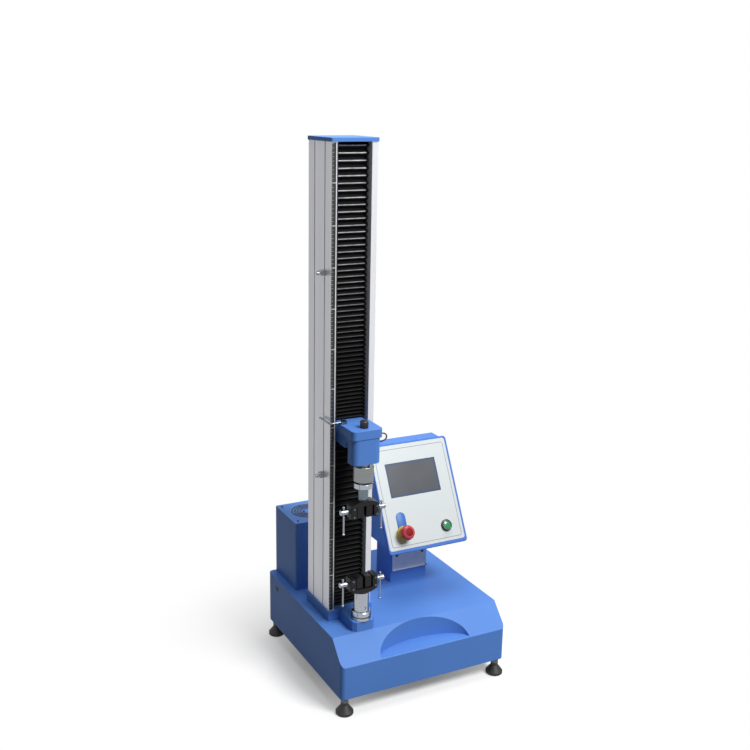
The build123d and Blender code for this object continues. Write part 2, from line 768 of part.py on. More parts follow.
def arm_front_cover():
    """U-shaped sheet round the front of the load cell's upper half."""
    front = CAP_FRONT + COVER_SETBACK
    back = front + COVER_DEPTH
    z0 = SEAM_Z - COVER_H
    outer = plan(cap_outline(COVER_W, front, back, COVER_R), z0, SEAM_Z)
    hollow = cap_outline(COVER_W - 2 * SHEET, front + SHEET, back + CUT, COVER_R - SHEET)
    return outer - plan(hollow, z0 - CUT, SEAM_Z + CUT)


def load_cell_knob():
    """Fluted knob on a long stud, which holds the load cell under the arm."""
    z0 = CAP_TOP + AIR
    z1 = z0 + KNOB_H
    knob = turned([(0, z0), (KNOB_R, z0), (KNOB_R, z1 - KNOB_BEVEL_H), (KNOB_R - KNOB_BEVEL_R, z1), (0, z1)],
                  COL_X, AXIS_Y)
    flute_r = KNOB_R + KNOB_FLUTE_R / 2
    knob -= ring_of_posts(COL_X, AXIS_Y, z0 - CUT, z1 + CUT, flute_r, KNOB_FLUTES, KNOB_FLUTE_R)
    return knob + post(COL_X, AXIS_Y, CELL_Z0 + CELL_H + CELL_THREAD, z0, KNOB_STUD_R)


def load_cell():
    """Round load cell with a neck that bolts up against the arm."""
    top = SEAM_Z - ARM_NOSE_T
    z1 = CELL_Z0 + CELL_H
    z0 = CELL_Z0
    r = CELL_R
    t = CELL_BEVEL
    points = [(0, z0), (r - t, z0), (r, z0 + t), (r, z1 - t), (r - t, z1), (CELL_NECK_R, z1), (CELL_NECK_R, top),
              (0, top)]
    bore = post(COL_X, AXIS_Y, z1 + CELL_THREAD - AIR, top + CUT, KNOB_STUD_R + AIR)
    return turned(points, COL_X, AXIS_Y) - bore


def load_cell_cable():
    """Lead that loops out of the cap's side and back into the front cover."""
    x0 = COL_X + CAP_W / 2
    x1 = x0 + CABLE_REACH
    z1 = SEAM_Z + CABLE_RISE
    z0 = z1 - CABLE_DROP
    corners = [(x0, AXIS_Y, z1), (x1, AXIS_Y, z1), (x1, AXIS_Y, z0), (COL_X + COVER_W / 2, AXIS_Y, z0)]
    path = FilletPolyline(*corners, radius=CABLE_BEND)
    section = Plane(origin=path @ 0, z_dir=path % 0) * Circle(CABLE_R)
    return sweep(section, path)


def trip_rod():
    """Bent rod from a clamp on the cap, across in front of the column and back along its side."""
    z = CAP_TOP + ROD_R + ROD_LIFT
    x_tip = COL_X - COL_W / 2 - ROD_OUT
    x_root = COL_X - CAP_W / 2 + ROD_ROOT_IN
    y = COL_FRONT - ROD_FORWARD
    y_tip = SLOT_FRONT_Y + ROD_PAST_STOP
    path = FilletPolyline((x_root, y, z), (x_tip, y, z), (x_tip, y_tip, z), radius=ROD_BEND)
    section = Plane(origin=path @ 0, z_dir=path % 0) * Circle(ROD_R)
    clamp = block(x_root - CLAMP_L / 2, x_root + CLAMP_L / 2, y - CLAMP_W / 2, y + CLAMP_W / 2,
                  CAP_TOP, z + ROD_R + ROD_LIFT)
    return sweep(section, path) + fillet(clamp.edges().filter_by(Axis.Z), CLAMP_R)


# Bellows

def bellows(z0, z1):
    """Folded strip that fills the channel from z0 to z1, its folds wider towards the top."""
    y_front = COL_FRONT + BELLOWS_RECESS
    y_back = y_front + BELLOWS_DEPTH - BELLOWS_T
    count = round((z1 - z0) / ((PLEAT_LONG + PLEAT_SHORT) / 2))
    steps = [PLEAT_SHORT + (PLEAT_LONG - PLEAT_SHORT) * i / count for i in range(count)]
    scale = (z1 - z0) / sum(steps)
    line = []
    z = z0
    for step in steps:
        line.append((y_back, z))
        line.append((y_front, z + step * scale / 2))
        z += step * scale
    line.append((y_back, z1))
    rear = [(y + BELLOWS_T, z) for y, z in reversed(line)]
    return side_profile(line + rear, COL_X - BELLOWS_W / 2, COL_X + BELLOWS_W / 2)


def upper_bellows():
    return bellows(CAP_TOP, COL_TOP)


def lower_bellows():
    return bellows(BLOCK_TOP, ARM_BOTTOM)


# Grips. Each piece is drawn about the clamp-screw axis of the upper grip, which opens downwards.

def grip_yoke():
    """U-shaped yoke with an arched back."""
    w = YOKE_W / 2
    arch = ThreePointArc((-w, YOKE_SHOULDER), (0, YOKE_BACK), (w, YOKE_SHOULDER))
    sides = Polyline((w, YOKE_SHOULDER), (w, -YOKE_ARM), (-w, -YOKE_ARM), (-w, YOKE_SHOULDER))
    body = Pos(0, YOKE_DEPTH / 2, 0) * extrude(Plane.XZ * make_face([arch, sides]), YOKE_DEPTH)
    body = fillet(body.edges().filter_by(Axis.Z), YOKE_EDGE_R)
    throat_h = YOKE_ARM + THROAT_TOP + THROAT_OPEN
    throat = Pos(0, THROAT_TOP - throat_h / 2) * RectangleRounded(2 * (w - YOKE_WALL), throat_h, THROAT_R)
    body -= Pos(0, YOKE_DEPTH / 2 + CUT, 0) * extrude(Plane.XZ * throat, YOKE_DEPTH + 2 * CUT)
    return body - rod_x(-w - CUT, w + CUT, 0, 0, SHANK_R + AIR)


def jaw():
    """Right-hand jaw with a toothed face."""
    x0 = JAW_GAP / 2
    x1 = x0 + JAW_T
    body = block(x0, x1, -JAW_DEPTH / 2, JAW_DEPTH / 2, -YOKE_ARM, JAW_H - YOKE_ARM)
    for i in range(int(JAW_H / TOOTH_STEP)):
        body -= tooth_groove(x0, TOOTH_STEP * (i + 0.5) - YOKE_ARM)
    return body - rod_x(x1 - NOSE_L - AIR, x1 + CUT, 0, 0, NOSE_R + RUN)


def tooth_groove(x, z):
    """V groove across a jaw face."""
    points = [(x - CUT, z - CUT), (x + TOOTH_DEPTH, z), (x - CUT, z + CUT)]
    face = Plane.XZ * make_face(Polyline(*points, close=True))
    return Pos(0, JAW_DEPTH / 2 + CUT, 0) * extrude(face, JAW_DEPTH + 2 * CUT)


def clamp_screw():
    """Right-hand clamp screw: nose in the jaw, shank through the yoke, cross-drilled head."""
    x_jaw = JAW_GAP / 2 + JAW_T
    x_head = YOKE_W / 2 + HEAD_GAP
    body = rod_x(x_jaw - NOSE_L, x_jaw + AIR, 0, 0, NOSE_R)
    body += rod_x(x_jaw + AIR, x_head, 0, 0, SHANK_R)
    head = rod_x(x_head, x_head + HEAD_L, 0, 0, HEAD_R)
    body += chamfer(head.edges().filter_by(GeomType.CIRCLE), HEAD_BEVEL)
    return body - post(BAR_X, 0, -HEAD_R - CUT, HEAD_R + CUT, BAR_R + RUN)


def tommy_bar():
    """Right-hand cross bar with a ball on each end."""
    bar = post(BAR_X, 0, -BAR_DOWN, BAR_UP, BAR_R)
    for z in (-BAR_DOWN, BAR_UP):
        bar += Pos(BAR_X, 0, z) * Sphere(BALL_R)
    return bar


def placed(shape, upper, side):
    """Moves a grip piece to one grip and one side. The lower grip is the upper one turned over."""
    if side < 0:
        shape = mirror(shape, Plane.YZ)
    if not upper:
        shape = mirror(shape, Plane.XY)
    return Pos(COL_X, AXIS_Y, GRIP_UPPER_Z if upper else GRIP_LOWER_Z) * shape


def placed_bar(upper, side):
    """Cross bars hang down on both grips, so they are never turned over."""
    bar = tommy_bar()
    if side < 0:
        bar = mirror(bar, Plane.YZ)
    return Pos(COL_X, AXIS_Y, GRIP_UPPER_Z if upper else GRIP_LOWER_Z) * bar


def lock_ring(z0, bore):
    """Ring nut with spanner slots."""
    z1 = z0 + RING_H
    ring = post(COL_X, AXIS_Y, z0, z1, RING_R)
    ring = chamfer(ring.edges().filter_by(GeomType.CIRCLE), RING_BEVEL)
    ring -= post(COL_X, AXIS_Y, z0 - CUT, z1 + CUT, bore + RUN)
    cutter = Pos(RING_R, 0, z0 + RING_H / 2) * Box(2 * RING_SLOT_D, RING_SLOT_W, RING_H + 2 * CUT)
    for i in range(RING_SLOTS):
        ring -= Pos(COL_X, AXIS_Y, 0) * (Rot(0, 0, 360 / RING_SLOTS * (i + 0.5)) * cutter)
    return ring


def upper_adaptor():
    """Stem between the load cell and the upper yoke, threaded for the lock ring."""
    z0 = GRIP_UPPER_Z + YOKE_BACK - ADAPTOR_SPIGOT
    ring = UPPER_RING_Z - AIR
    points = [(0, z0), (ADAPTOR_R, z0), (ADAPTOR_R, ring), (RING_BORE_R, ring), (RING_BORE_R, CELL_Z0),
              (0, CELL_Z0)]
    return turned(points, COL_X, AXIS_Y)


def upper_yoke():
    top = GRIP_UPPER_Z + YOKE_BACK
    socket = post(COL_X, AXIS_Y, top - ADAPTOR_SPIGOT, top + YOKE_SPIGOT, ADAPTOR_R)
    return placed(grip_yoke(), True, 1) - socket


def lower_adaptor():
    """Plain cylinder on a flange, with the cross pin that holds the grip."""
    z1 = GRIP_LOWER_Z - YOKE_BACK + ADAPTOR_SPIGOT
    r = LOWER_ADAPTOR_R
    points = [(0, BLOCK_TOP), (RING_R, BLOCK_TOP), (RING_R, LOWER_FLANGE_Z), (r, LOWER_FLANGE_Z), (r, z1),
              (0, z1)]
    z = LOWER_RING_Z + RING_H + PIN_LIFT
    hole = Pos(COL_X, AXIS_Y, z) * Cylinder(PIN_R, 2 * (r + CUT), rotation=(90, 0, 0))
    pin = Pos(COL_X, AXIS_Y, z) * Cylinder(PIN_R, 2 * (r - PIN_SUNK), rotation=(90, 0, 0))
    return turned(points, COL_X, AXIS_Y) - (hole - pin)


def lower_yoke():
    z1 = GRIP_LOWER_Z - YOKE_BACK
    socket = post(COL_X, AXIS_Y, z1 - YOKE_SPIGOT, z1 + ADAPTOR_SPIGOT, LOWER_ADAPTOR_R)
    return placed(grip_yoke(), False, 1) - socket


# Limit stops

def limit_stop(z):
    """Block keyed in the front T-slot, with a thumb screw."""
    y = SLOT_FRONT_Y
    wall = COL_X - COL_W / 2
    z0 = z - STOP_H / 2
    z1 = z + STOP_H / 2
    neck = SLOT_W / 2 - AIR
    head = SLOT_HEAD_W / 2 - AIR
    body = block(wall - STOP_T, wall, y - STOP_W / 2, y + STOP_W / 2, z0, z1)
    body = fillet(body.edges().filter_by(Axis.X), STOP_EDGE_R)
    body += block(wall, wall + SLOT_LIP, y - neck, y + neck, z0, z1)
    body += block(wall + SLOT_LIP + AIR, wall + SLOT_DEPTH - AIR, y - head, y + head, z0, z1)
    body += block(wall, wall + SLOT_DEPTH - AIR, y - neck, y + neck, z - STOP_KEY / 2, z + STOP_KEY / 2)
    stem = wall - STOP_T - THUMB_STEM_L
    body += rod_x(stem, wall - STOP_T, y - THUMB_Y, z, THUMB_STEM_R)
    return body + rod_x(stem - THUMB_L, stem, y - THUMB_Y, z, THUMB_R)


# Control panel

def panel_plane(u, v, lift):
    """Plane on the tilted panel: u from its middle, v up from its lower edge, lift outwards."""
    a = math.radians(PANEL_TILT)
    origin = (PANEL_X + u, PANEL_Y + v * math.sin(a) - lift * math.cos(a),
              PANEL_Z + v * math.cos(a) + lift * math.sin(a))
    return Plane(origin=origin, x_dir=(1, 0, 0), z_dir=(0, -math.cos(a), math.sin(a)))


def panel_disc(u, v, lift0, lift1, r):
    """Cylinder square to the panel between two heights over its face."""
    shape = Cylinder(r, lift1 - lift0, align=(Align.CENTER, Align.CENTER, Align.MIN))
    return panel_plane(u, v, lift0) * shape


def panel_face():
    """Folded tray with the openings for the screen and the two buttons."""
    mid = panel_plane(0, PANEL_L / 2, 0)
    tray = extrude(mid * RectangleRounded(PANEL_W, PANEL_L, PANEL_R), -PANEL_T)
    tray = fillet(tray.faces().sort_by(Axis(mid.origin, mid.z_dir))[-1].edges(), PANEL_EDGE_R)
    pocket = panel_plane(0, PANEL_L / 2, -PANEL_WALL)
    hollow = RectangleRounded(PANEL_W - 2 * SHEET, PANEL_L - 2 * SHEET, PANEL_R - SHEET)
    tray -= extrude(pocket * hollow, -PANEL_T)
    tray -= extrude(panel_plane(SCREEN_U, SCREEN_V, CUT) * Rectangle(SCREEN_W, SCREEN_H), -PANEL_T)
    tray -= panel_disc(ESTOP_U, BUTTON_V, -PANEL_T, CUT, ESTOP_BODY_R + AIR)
    return tray - panel_disc(START_U, BUTTON_V, -PANEL_T, CUT, START_BODY_R + AIR)


def casing_outline(inset):
    """Side outline of the casing behind the panel, moved inwards by inset."""
    a = math.radians(PANEL_TILT)
    low = panel_plane(0, CASING_INSET, -PANEL_WALL).origin
    high = panel_plane(0, PANEL_L - CASING_INSET, -PANEL_WALL).origin
    z0 = low.Z + inset
    z1 = high.Z - inset
    mouth = -SHEET / math.cos(a) if inset else 0
    lean = math.tan(a)
    y0 = low.Y + inset * lean + mouth
    y1 = high.Y - inset * lean + mouth
    return [(y0, z0), (y1, z1), (CASING_BACK - inset, z1), (CASING_BACK - inset, z0)]


def panel_casing():
    """Wedge-shaped sheet box behind the panel, open to the front."""
    half = PANEL_W / 2 - CASING_INSET
    outer = side_profile(casing_outline(0), PANEL_X - half, PANEL_X + half)
    return outer - side_profile(casing_outline(SHEET), PANEL_X - half + SHEET, PANEL_X + half - SHEET)


def touch_screen():
    """Touch screen: glass in the panel's opening, with a lip and a body behind it."""
    sight = panel_plane(SCREEN_U, SCREEN_V, -SCREEN_SUNK)
    glass = extrude(sight * Rectangle(SCREEN_W - 2 * AIR, SCREEN_H - 2 * AIR), -PANEL_WALL - SCREEN_SUNK)
    back = panel_plane(SCREEN_U, SCREEN_V, -PANEL_WALL)
    lip = RectangleRounded(SCREEN_W + 2 * SCREEN_LIP, SCREEN_H + 2 * SCREEN_LIP, SCREEN_BODY_R)
    body = RectangleRounded(SCREEN_W - 2 * SCREEN_BODY_IN, SCREEN_H - 2 * SCREEN_BODY_IN, SCREEN_BODY_R)
    return glass + extrude(back * lip, -SCREEN_LIP_T) + extrude(back * body, -SCREEN_BODY)


def estop_base():
    """Emergency stop's collar and body."""
    face = panel_plane(ESTOP_U, BUTTON_V, 0)
    collar = panel_disc(ESTOP_U, BUTTON_V, 0, ESTOP_COLLAR_H, ESTOP_R)
    rim = collar.edges().filter_by(GeomType.CIRCLE).sort_by(Axis(face.origin, face.z_dir))[-1]
    collar = chamfer(rim, ESTOP_COLLAR_BEVEL)
    body = panel_disc(ESTOP_U, BUTTON_V, -ESTOP_BODY_L, 0, ESTOP_BODY_R)
    return collar + body - panel_disc(ESTOP_U, BUTTON_V, -ESTOP_STEM_L, ESTOP_COLLAR_H + CUT, ESTOP_STEM_R)


def estop_button():
    """Mushroom head with a dished top, on its stem."""
    skirt = ESTOP_COLLAR_H + ESTOP_TRAVEL + ESTOP_LIFT
    outline = [(ESTOP_R - inwards, skirt + up) for inwards, up in ESTOP_PROFILE]
    points = [(0, skirt)] + outline + [(0, outline[-1][1])]
    head = panel_plane(ESTOP_U, BUTTON_V, 0) * turned(points, 0, 0)
    stem_end = -ESTOP_STEM_L + ESTOP_TRAVEL + ESTOP_LIFT
    return head + panel_disc(ESTOP_U, BUTTON_V, stem_end, skirt, ESTOP_STEM_R - RUN)


def start_button():
    """Start button: cap over its body."""
    lift = START_TRAVEL + START_LIFT
    cap = panel_disc(START_U, BUTTON_V, lift, START_PROUD, START_CAP_R)
    return cap + panel_disc(START_U, BUTTON_V, -START_BODY_L, lift, START_BODY_R)


# Stand and printer door

def panel_stand():
    """Sheet tube under the casing, with the printer's window and the door's two ears."""
    z1 = panel_plane(0, CASING_INSET, -PANEL_WALL).origin.Z
    d = CASING_BACK - STAND_FRONT
    place = Pos(PANEL_X, (STAND_FRONT + CASING_BACK) / 2)
    outer = place * RectangleRounded(STAND_W, d, STAND_R)
    inner = place * RectangleRounded(STAND_W - 2 * SHEET, d - 2 * SHEET, STAND_R - SHEET)
    shell = plan(outer, BASE_TOP, z1) - plan(inner, BASE_TOP - CUT, z1 + CUT)
    half = DOOR_W / 2 - WINDOW_SIDE
    shell -= block(PANEL_X - half, PANEL_X + half, STAND_FRONT - CUT, STAND_FRONT + SHEET + CUT,
                   DOOR_Z + WINDOW_BELOW, DOOR_Z + DOOR_H - WINDOW_ABOVE)
    for side in (-1, 1):
        edge = PANEL_X + side * (DOOR_W / 2 + AIR)
        x0, x1 = sorted((edge, edge + side * EAR_T))
        ear = block(x0, x1, DOOR_AXIS_Y - EAR_W / 2, STAND_FRONT + SHEET / 2,
                    DOOR_AXIS_Z - EAR_W / 2, DOOR_AXIS_Z + EAR_W / 2)
        shell += ear - rod_x(x0 - CUT, x1 + CUT, DOOR_AXIS_Y, DOOR_AXIS_Z, DOOR_PIN_R + RUN)
    return shell


def printer_door():
    """Leaf hinged on pins at its lower edge."""
    half = DOOR_W / 2
    leaf = block(PANEL_X - half, PANEL_X + half, STAND_FRONT - AIR - DOOR_T, STAND_FRONT - AIR,
                 DOOR_AXIS_Z, DOOR_Z + DOOR_H)
    leaf = fillet(leaf.edges().filter_by(Axis.Y).group_by(Axis.Z)[-1], DOOR_R)
    leaf += rod_x(PANEL_X - half, PANEL_X + half, DOOR_AXIS_Y, DOOR_AXIS_Z, DOOR_KNUCKLE_R)
    reach = half + DOOR_PIN_L
    return leaf + rod_x(PANEL_X - reach, PANEL_X + reach, DOOR_AXIS_Y, DOOR_AXIS_Z, DOOR_PIN_R)


# Power switch and mains inlet

def switch_housing():
    """Rim and body of the power switch, with a well for the rocker."""
    x = -BASE_W / 2
    w = SWITCH_W / 2
    h = SWITCH_H / 2
    rim = block(x - SWITCH_RIM, x, SWITCH_Y - w, SWITCH_Y + w, SWITCH_Z - h, SWITCH_Z + h)
    t = SWITCH_WALL
    body = block(x, x + SWITCH_BODY, SWITCH_Y - w + t, SWITCH_Y + w - t, SWITCH_Z - h + t, SWITCH_Z + h - t)
    t = 2 * SWITCH_WALL
    well = block(x - SWITCH_RIM - CUT, x + SWITCH_WELL, SWITCH_Y - w + t, SWITCH_Y + w - t,
                 SWITCH_Z - h + t, SWITCH_Z + h - t)
    bore = Pos(x + ROCKER_AXIS, SWITCH_Y, SWITCH_Z) * Cylinder(ROCKER_PIN_R + RUN, SWITCH_H - 2 * SWITCH_WALL)
    return rim + body - well - bore


def power_rocker():
    """Rocker in its middle place, a shallow V across its face, on an upright pin."""
    x = -BASE_W / 2
    w = SWITCH_W / 2 - 2 * SWITCH_WALL - AIR - ROCKER_SWING
    h = SWITCH_H / 2 - 2 * SWITCH_WALL - AIR
    k = w * ROCKER_KEEL_SHARE
    face = x - ROCKER_PROUD
    points = [(face, -w), (face + ROCKER_DIP, 0), (face, w), (x + ROCKER_BACK, k), (x + ROCKER_KEEL, 0),
              (x + ROCKER_BACK, -k)]
    body = Pos(0, SWITCH_Y, SWITCH_Z - h) * extrude(make_face(Polyline(*points, close=True)), 2 * h)
    pin = Cylinder(ROCKER_PIN_R, SWITCH_H - 2 * SWITCH_WALL - 2 * AIR)
    return body + Pos(x + ROCKER_AXIS, SWITCH_Y, SWITCH_Z) * pin


def mains_inlet():
    """Three-pin appliance inlet with a hooded recess."""
    y = -FRONT
    w = INLET_W / 2
    h = INLET_H / 2
    flange = block(INLET_X - w - INLET_EAR, INLET_X + w + INLET_EAR, y, y + INLET_FLANGE_T,
                   INLET_Z - h - INLET_WALL, INLET_Z + h + INLET_WALL)
    flange = fillet(flange.edges().filter_by(Axis.Y), INLET_FLANGE_R)
    body = block(INLET_X - w + AIR, INLET_X + w - AIR, y - INLET_BODY, y, INLET_Z - h + AIR, INLET_Z + h - AIR)
    body += flange
    t = INLET_WALL
    recess = block(INLET_X - w + t, INLET_X + w - t, y - INLET_RECESS, y + INLET_FLANGE_T + CUT,
                   INLET_Z - h + t, INLET_Z + h - t)
    body -= chamfer(recess.edges().filter_by(Axis.Y).group_by(Axis.Z)[-1], INLET_CORNER)
    for dx, dz in BLADE_PLACES:
        x = INLET_X + dx
        z = INLET_Z + dz
        body += block(x - BLADE_W / 2, x + BLADE_W / 2, y - INLET_RECESS - CUT, y - BLADE_SUNK,
                      z - BLADE_H / 2, z + BLADE_H / 2)
    return body


def all_nodes():
    """Every node of the machine, by name."""
    nodes = {
        "base_cover": base_cover(),
        "base_plate": base_plate(),
        "column_foot_block": column_foot_block(),
        "column_extrusion": column_extrusion(),
        "top_plate": top_plate(),
        "guides_and_bearings": guides_and_bearings(),
        "ball_screw": ball_screw(),
        "screw_pulley": screw_pulley(),
        "motor_pulley": motor_pulley(),
        "drive_belt": drive_belt(),
        "drive_motor": drive_motor(),
        "rear_housing": rear_housing(),
        "fan_frame": fan_frame(),
        "fan_rotor": fan_rotor(),
        "crosshead_carriage": crosshead_carriage(),
        "carriage_bearings": carriage_bearings(),
        "crosshead_arm": crosshead_arm(),
        "arm_cap": arm_cap(),
        "arm_front_cover": arm_front_cover(),
        "load_cell_knob": load_cell_knob(),
        "load_cell": load_cell(),
        "load_cell_cable": load_cell_cable(),
        "trip_rod": trip_rod(),
        "upper_bellows": upper_bellows(),
        "lower_bellows": lower_bellows(),
        "upper_lock_ring": lock_ring(UPPER_RING_Z, RING_BORE_R),
        "lower_lock_ring": lock_ring(LOWER_RING_Z, LOWER_ADAPTOR_R),
        "upper_adaptor": upper_adaptor(),
        "lower_adaptor": lower_adaptor(),
        "upper_grip_yoke": upper_yoke(),
        "lower_grip_yoke": lower_yoke(),
        "upper_limit_stop": limit_stop(STOP_UPPER_Z),
        "lower_limit_stop": limit_stop(STOP_LOWER_Z),
        "panel_casing": panel_casing(),
        "panel_face": panel_face(),
        "touch_screen": touch_screen(),
        "estop_base": estop_base(),
        "estop_button": estop_button(),
        "start_button": start_button(),
        "panel_stand": panel_stand(),
        "printer_door": printer_door(),
        "switch_housing": switch_housing(),
        "power_rocker": power_rocker(),
        "mains_inlet": mains_inlet(),
    }
    for name, (sx, sy) in FOOT_CORNERS.items():
        nodes[f"levelling_foot_{name}"] = levelling_foot(sx, sy)
    for level, upper in (("upper", True), ("lower", False)):
        for name, side in (("left", -1), ("right", 1)):
            nodes[f"{level}_{name}_jaw"] = placed(jaw(), upper, side)
            nodes[f"{level}_{name}_clamp_screw"] = placed(clamp_screw(), upper, side)
            nodes[f"{level}_{name}_tommy_bar"] = placed_bar(upper, side)
    return nodes


def write(name, shape):
    """Exports one node as a STEP file."""
    solids = shape if isinstance(shape, list) else shape.solids()
    body = Compound(children=list(solids)) if len(solids) > 1 else solids[0]
    export_step(body, f"parts/{name}.step")


os.makedirs("parts", exist_ok=True)
for node, solid in all_nodes().items():
    write(node, solid)
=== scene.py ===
import logging
import math
from contextlib import contextmanager
from dataclasses import dataclass
from enum import Enum
from typing import Iterator, Sequence

import bmesh
import bpy
from mathutils import Matrix, Vector


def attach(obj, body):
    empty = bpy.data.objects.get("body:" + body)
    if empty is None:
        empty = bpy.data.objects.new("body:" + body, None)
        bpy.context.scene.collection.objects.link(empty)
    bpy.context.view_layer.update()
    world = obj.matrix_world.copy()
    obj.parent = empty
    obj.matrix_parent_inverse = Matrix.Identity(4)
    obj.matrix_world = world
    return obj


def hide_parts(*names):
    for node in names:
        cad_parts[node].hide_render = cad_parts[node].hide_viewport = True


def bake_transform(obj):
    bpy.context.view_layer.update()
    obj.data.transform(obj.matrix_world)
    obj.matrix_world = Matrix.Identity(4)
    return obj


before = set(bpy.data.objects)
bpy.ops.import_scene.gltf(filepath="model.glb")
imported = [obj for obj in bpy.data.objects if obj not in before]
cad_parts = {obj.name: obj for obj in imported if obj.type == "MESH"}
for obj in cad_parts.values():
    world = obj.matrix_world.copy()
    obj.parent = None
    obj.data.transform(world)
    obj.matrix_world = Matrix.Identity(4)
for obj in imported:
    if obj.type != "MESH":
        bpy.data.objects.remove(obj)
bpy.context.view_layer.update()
LOG = logging.getLogger("tensile_tester")

MM = 0.001
COLUMN_X = -153.517
LOAD_AXIS_Y = -165.5
WHITE = (1.0, 1.0, 1.0, 1.0)

Point = tuple[float, float, float]
Span = tuple[float, float]
Piece = bpy.types.Object
Tree = bpy.types.NodeTree
Node = bpy.types.Node
Socket = bpy.types.NodeSocket
WHOLE: Span = (0.0, 1.0)
# Between these lie most values of a noise
MOST: Span = (0.3, 0.7)


class Turn(Enum):
    """Which way a turned piece's axis points, as rotations of +Z about X and Y in degrees."""

    UP = (0.0, 0.0)
    LEFT = (0.0, -90.0)
    RIGHT = (0.0, 90.0)
    FRONT = (90.0, 0.0)
    BACK = (-90.0, 0.0)

    def matrix(self) -> Matrix:
        """Rotation that turns +Z this way."""
        x, y = (math.radians(v) for v in self.value)
        return Matrix.Rotation(y, 4, "Y") @ Matrix.Rotation(x, 4, "X")


# Finishes


def linear(hex_colour: str) -> tuple[float, ...]:
    """Turns an sRGB hex colour to linear red, green and blue, with an alpha of 1."""
    parts = [int(hex_colour[i:i + 2], 16) / 255 for i in (1, 3, 5)]
    light = [p / 12.92 if p <= 0.04045 else ((p + 0.055) / 1.055) ** 2.4 for p in parts]
    return *light, 1.0


def per_mm(size: float) -> float:
    """Scale of a texture whose features are this many millimetres across."""
    return 1.0 / (size * MM)


def add_node(tree: Tree, kind: str, inputs: dict | None = None, **settings) -> Node:
    """Adds one node with its settings, values and links.

    Args:
        tree: Node tree to add it to.
        kind: Node type, without its ShaderNode in front.
        inputs: Socket name or number to a value, or to the output socket it is linked to.
        **settings: Properties of the node.

    Returns:
        The new node.
    """
    node = tree.nodes.new(f"ShaderNode{kind}")
    for key, value in settings.items():
        setattr(node, key, value)
    for key, value in (inputs or {}).items():
        if isinstance(value, Socket):
            tree.links.new(value, node.inputs[key])
        else:
            node.inputs[key].default_value = value
    return node


def empty_tree(owner: bpy.types.Material | bpy.types.World) -> Tree:
    """The owner's node tree, switched on and emptied."""
    owner.use_nodes = True
    owner.node_tree.nodes.clear()
    return owner.node_tree


@dataclass(frozen=True)
class Nodes:
    """The nodes of a material or world, with short ways to add those that every finish needs."""

    tree: Tree
    shader: Node | None = None
    place: Socket | None = None

    def noise(self, size: float, detail: float = 2.0, roughness: float = 0.5,
              place: Socket | None = None) -> Socket:
        """Noise with features so many mm wide, in object coordinates unless others are given."""
        return add_node(self.tree, "TexNoise", {
            "Vector": self.place if place is None else place, "Scale": per_mm(size), "Detail": detail,
            "Roughness": roughness}).outputs["Fac"]

    def scaled(self, scale: Point) -> Socket:
        """Object coordinates, stretched or squeezed along each axis."""
        return add_node(self.tree, "Mapping", {"Vector": self.place, "Scale": scale}).outputs[0]

    def split(self, place: Socket) -> Node:
        """Separate XYZ node of some coordinates."""
        return add_node(self.tree, "SeparateXYZ", {"Vector": place})

    def math(self, operation: str, *values: Socket | float) -> Socket:
        """Result of one operation on sockets or numbers."""
        return add_node(self.tree, "Math", dict(enumerate(values)), operation=operation).outputs[0]

    def ranged(self, value: Socket, given: Span, wanted: Span) -> Socket:
        """Value moved from one range to another and held within it."""
        return add_node(self.tree, "MapRange", {
            "Value": value, "From Min": given[0], "From Max": given[1], "To Min": wanted[0],
            "To Max": wanted[1]}).outputs["Result"]

    def mix(self, amount: Socket, first: Socket | tuple, second: Socket | tuple) -> Socket:
        """Colour between two others."""
        return add_node(self.tree, "Mix", {"Factor": amount, "A": first, "B": second},
                        data_type="RGBA").outputs["Result"]

    def link(self, value: Socket, name: str) -> None:
        """Links a value to an input of the shader."""
        self.tree.links.new(value, self.shader.inputs[name])

    def colour(self, amount: Socket, first: Socket | tuple, second: Socket | tuple) -> None:
        """Lets the base colour go from one colour to another."""
        self.link(self.mix(amount, first, second), "Base Color")

    def shaded(self, colour: str, value: Socket) -> Socket:
        """A colour made lighter or darker by a factor."""
        made = add_node(self.tree, "HueSaturation", {"Color": linear(colour), "Value": value})
        return made.outputs["Color"]

    def tint(self, colour: str, value: Socket) -> None:
        """Lets the base colour's lightness follow a factor."""
        self.link(self.shaded(colour, value), "Base Color")

    def gloss(self, value: Socket, given: Span, wanted: Span) -> None:
        """Lets the roughness follow a value."""
        self.link(self.ranged(value, given, wanted), "Roughness")

    def bump(self, height: Socket, strength: float, depth: float) -> None:
        """Lets the surface's relief, so many mm deep, follow a value."""
        made = add_node(self.tree, "Bump", {"Height": height, "Strength": strength, "Distance": depth * MM})
        self.link(made.outputs["Normal"], "Normal")


@dataclass(frozen=True)
class Finish:
    """A surface: what the piece is made of and how it was made."""

    name: str
    colour: str
    roughness: float
    metallic: float = 0.0
    ior: float = 1.5
    coat: float = 0.0
    coat_roughness: float = 0.1
    anisotropy: float = 0.0
    specular: float = 0.5

    def material(self) -> bpy.types.Material:
        """The finish's material, made once."""
        made = bpy.data.materials.get(self.name)
        if made is not None:
            return made
        made = bpy.data.materials.new(self.name)
        tree = empty_tree(made)
        shader = add_node(tree, "BsdfPrincipled", {
            "Base Color": linear(self.colour), "Roughness": self.roughness, "Metallic": self.metallic,
            "IOR": self.ior, "Coat Weight": self.coat, "Coat Roughness": self.coat_roughness,
            "Anisotropic": self.anisotropy, "Specular IOR Level": self.specular})
        add_node(tree, "OutputMaterial", {"Surface": shader.outputs["BSDF"]})
        self.pattern(Nodes(tree, shader, add_node(tree, "TexCoord").outputs["Object"]))
        return made

    def rougher(self, less: float, more: float) -> Span:
        """Roughness from a bit less to a bit more than the finish's own."""
        return max(self.roughness - less, 0.03), self.roughness + more

    def pattern(self, nodes: Nodes) -> None:
        """Adds the finish's own detail to its nodes."""
        raise NotImplementedError


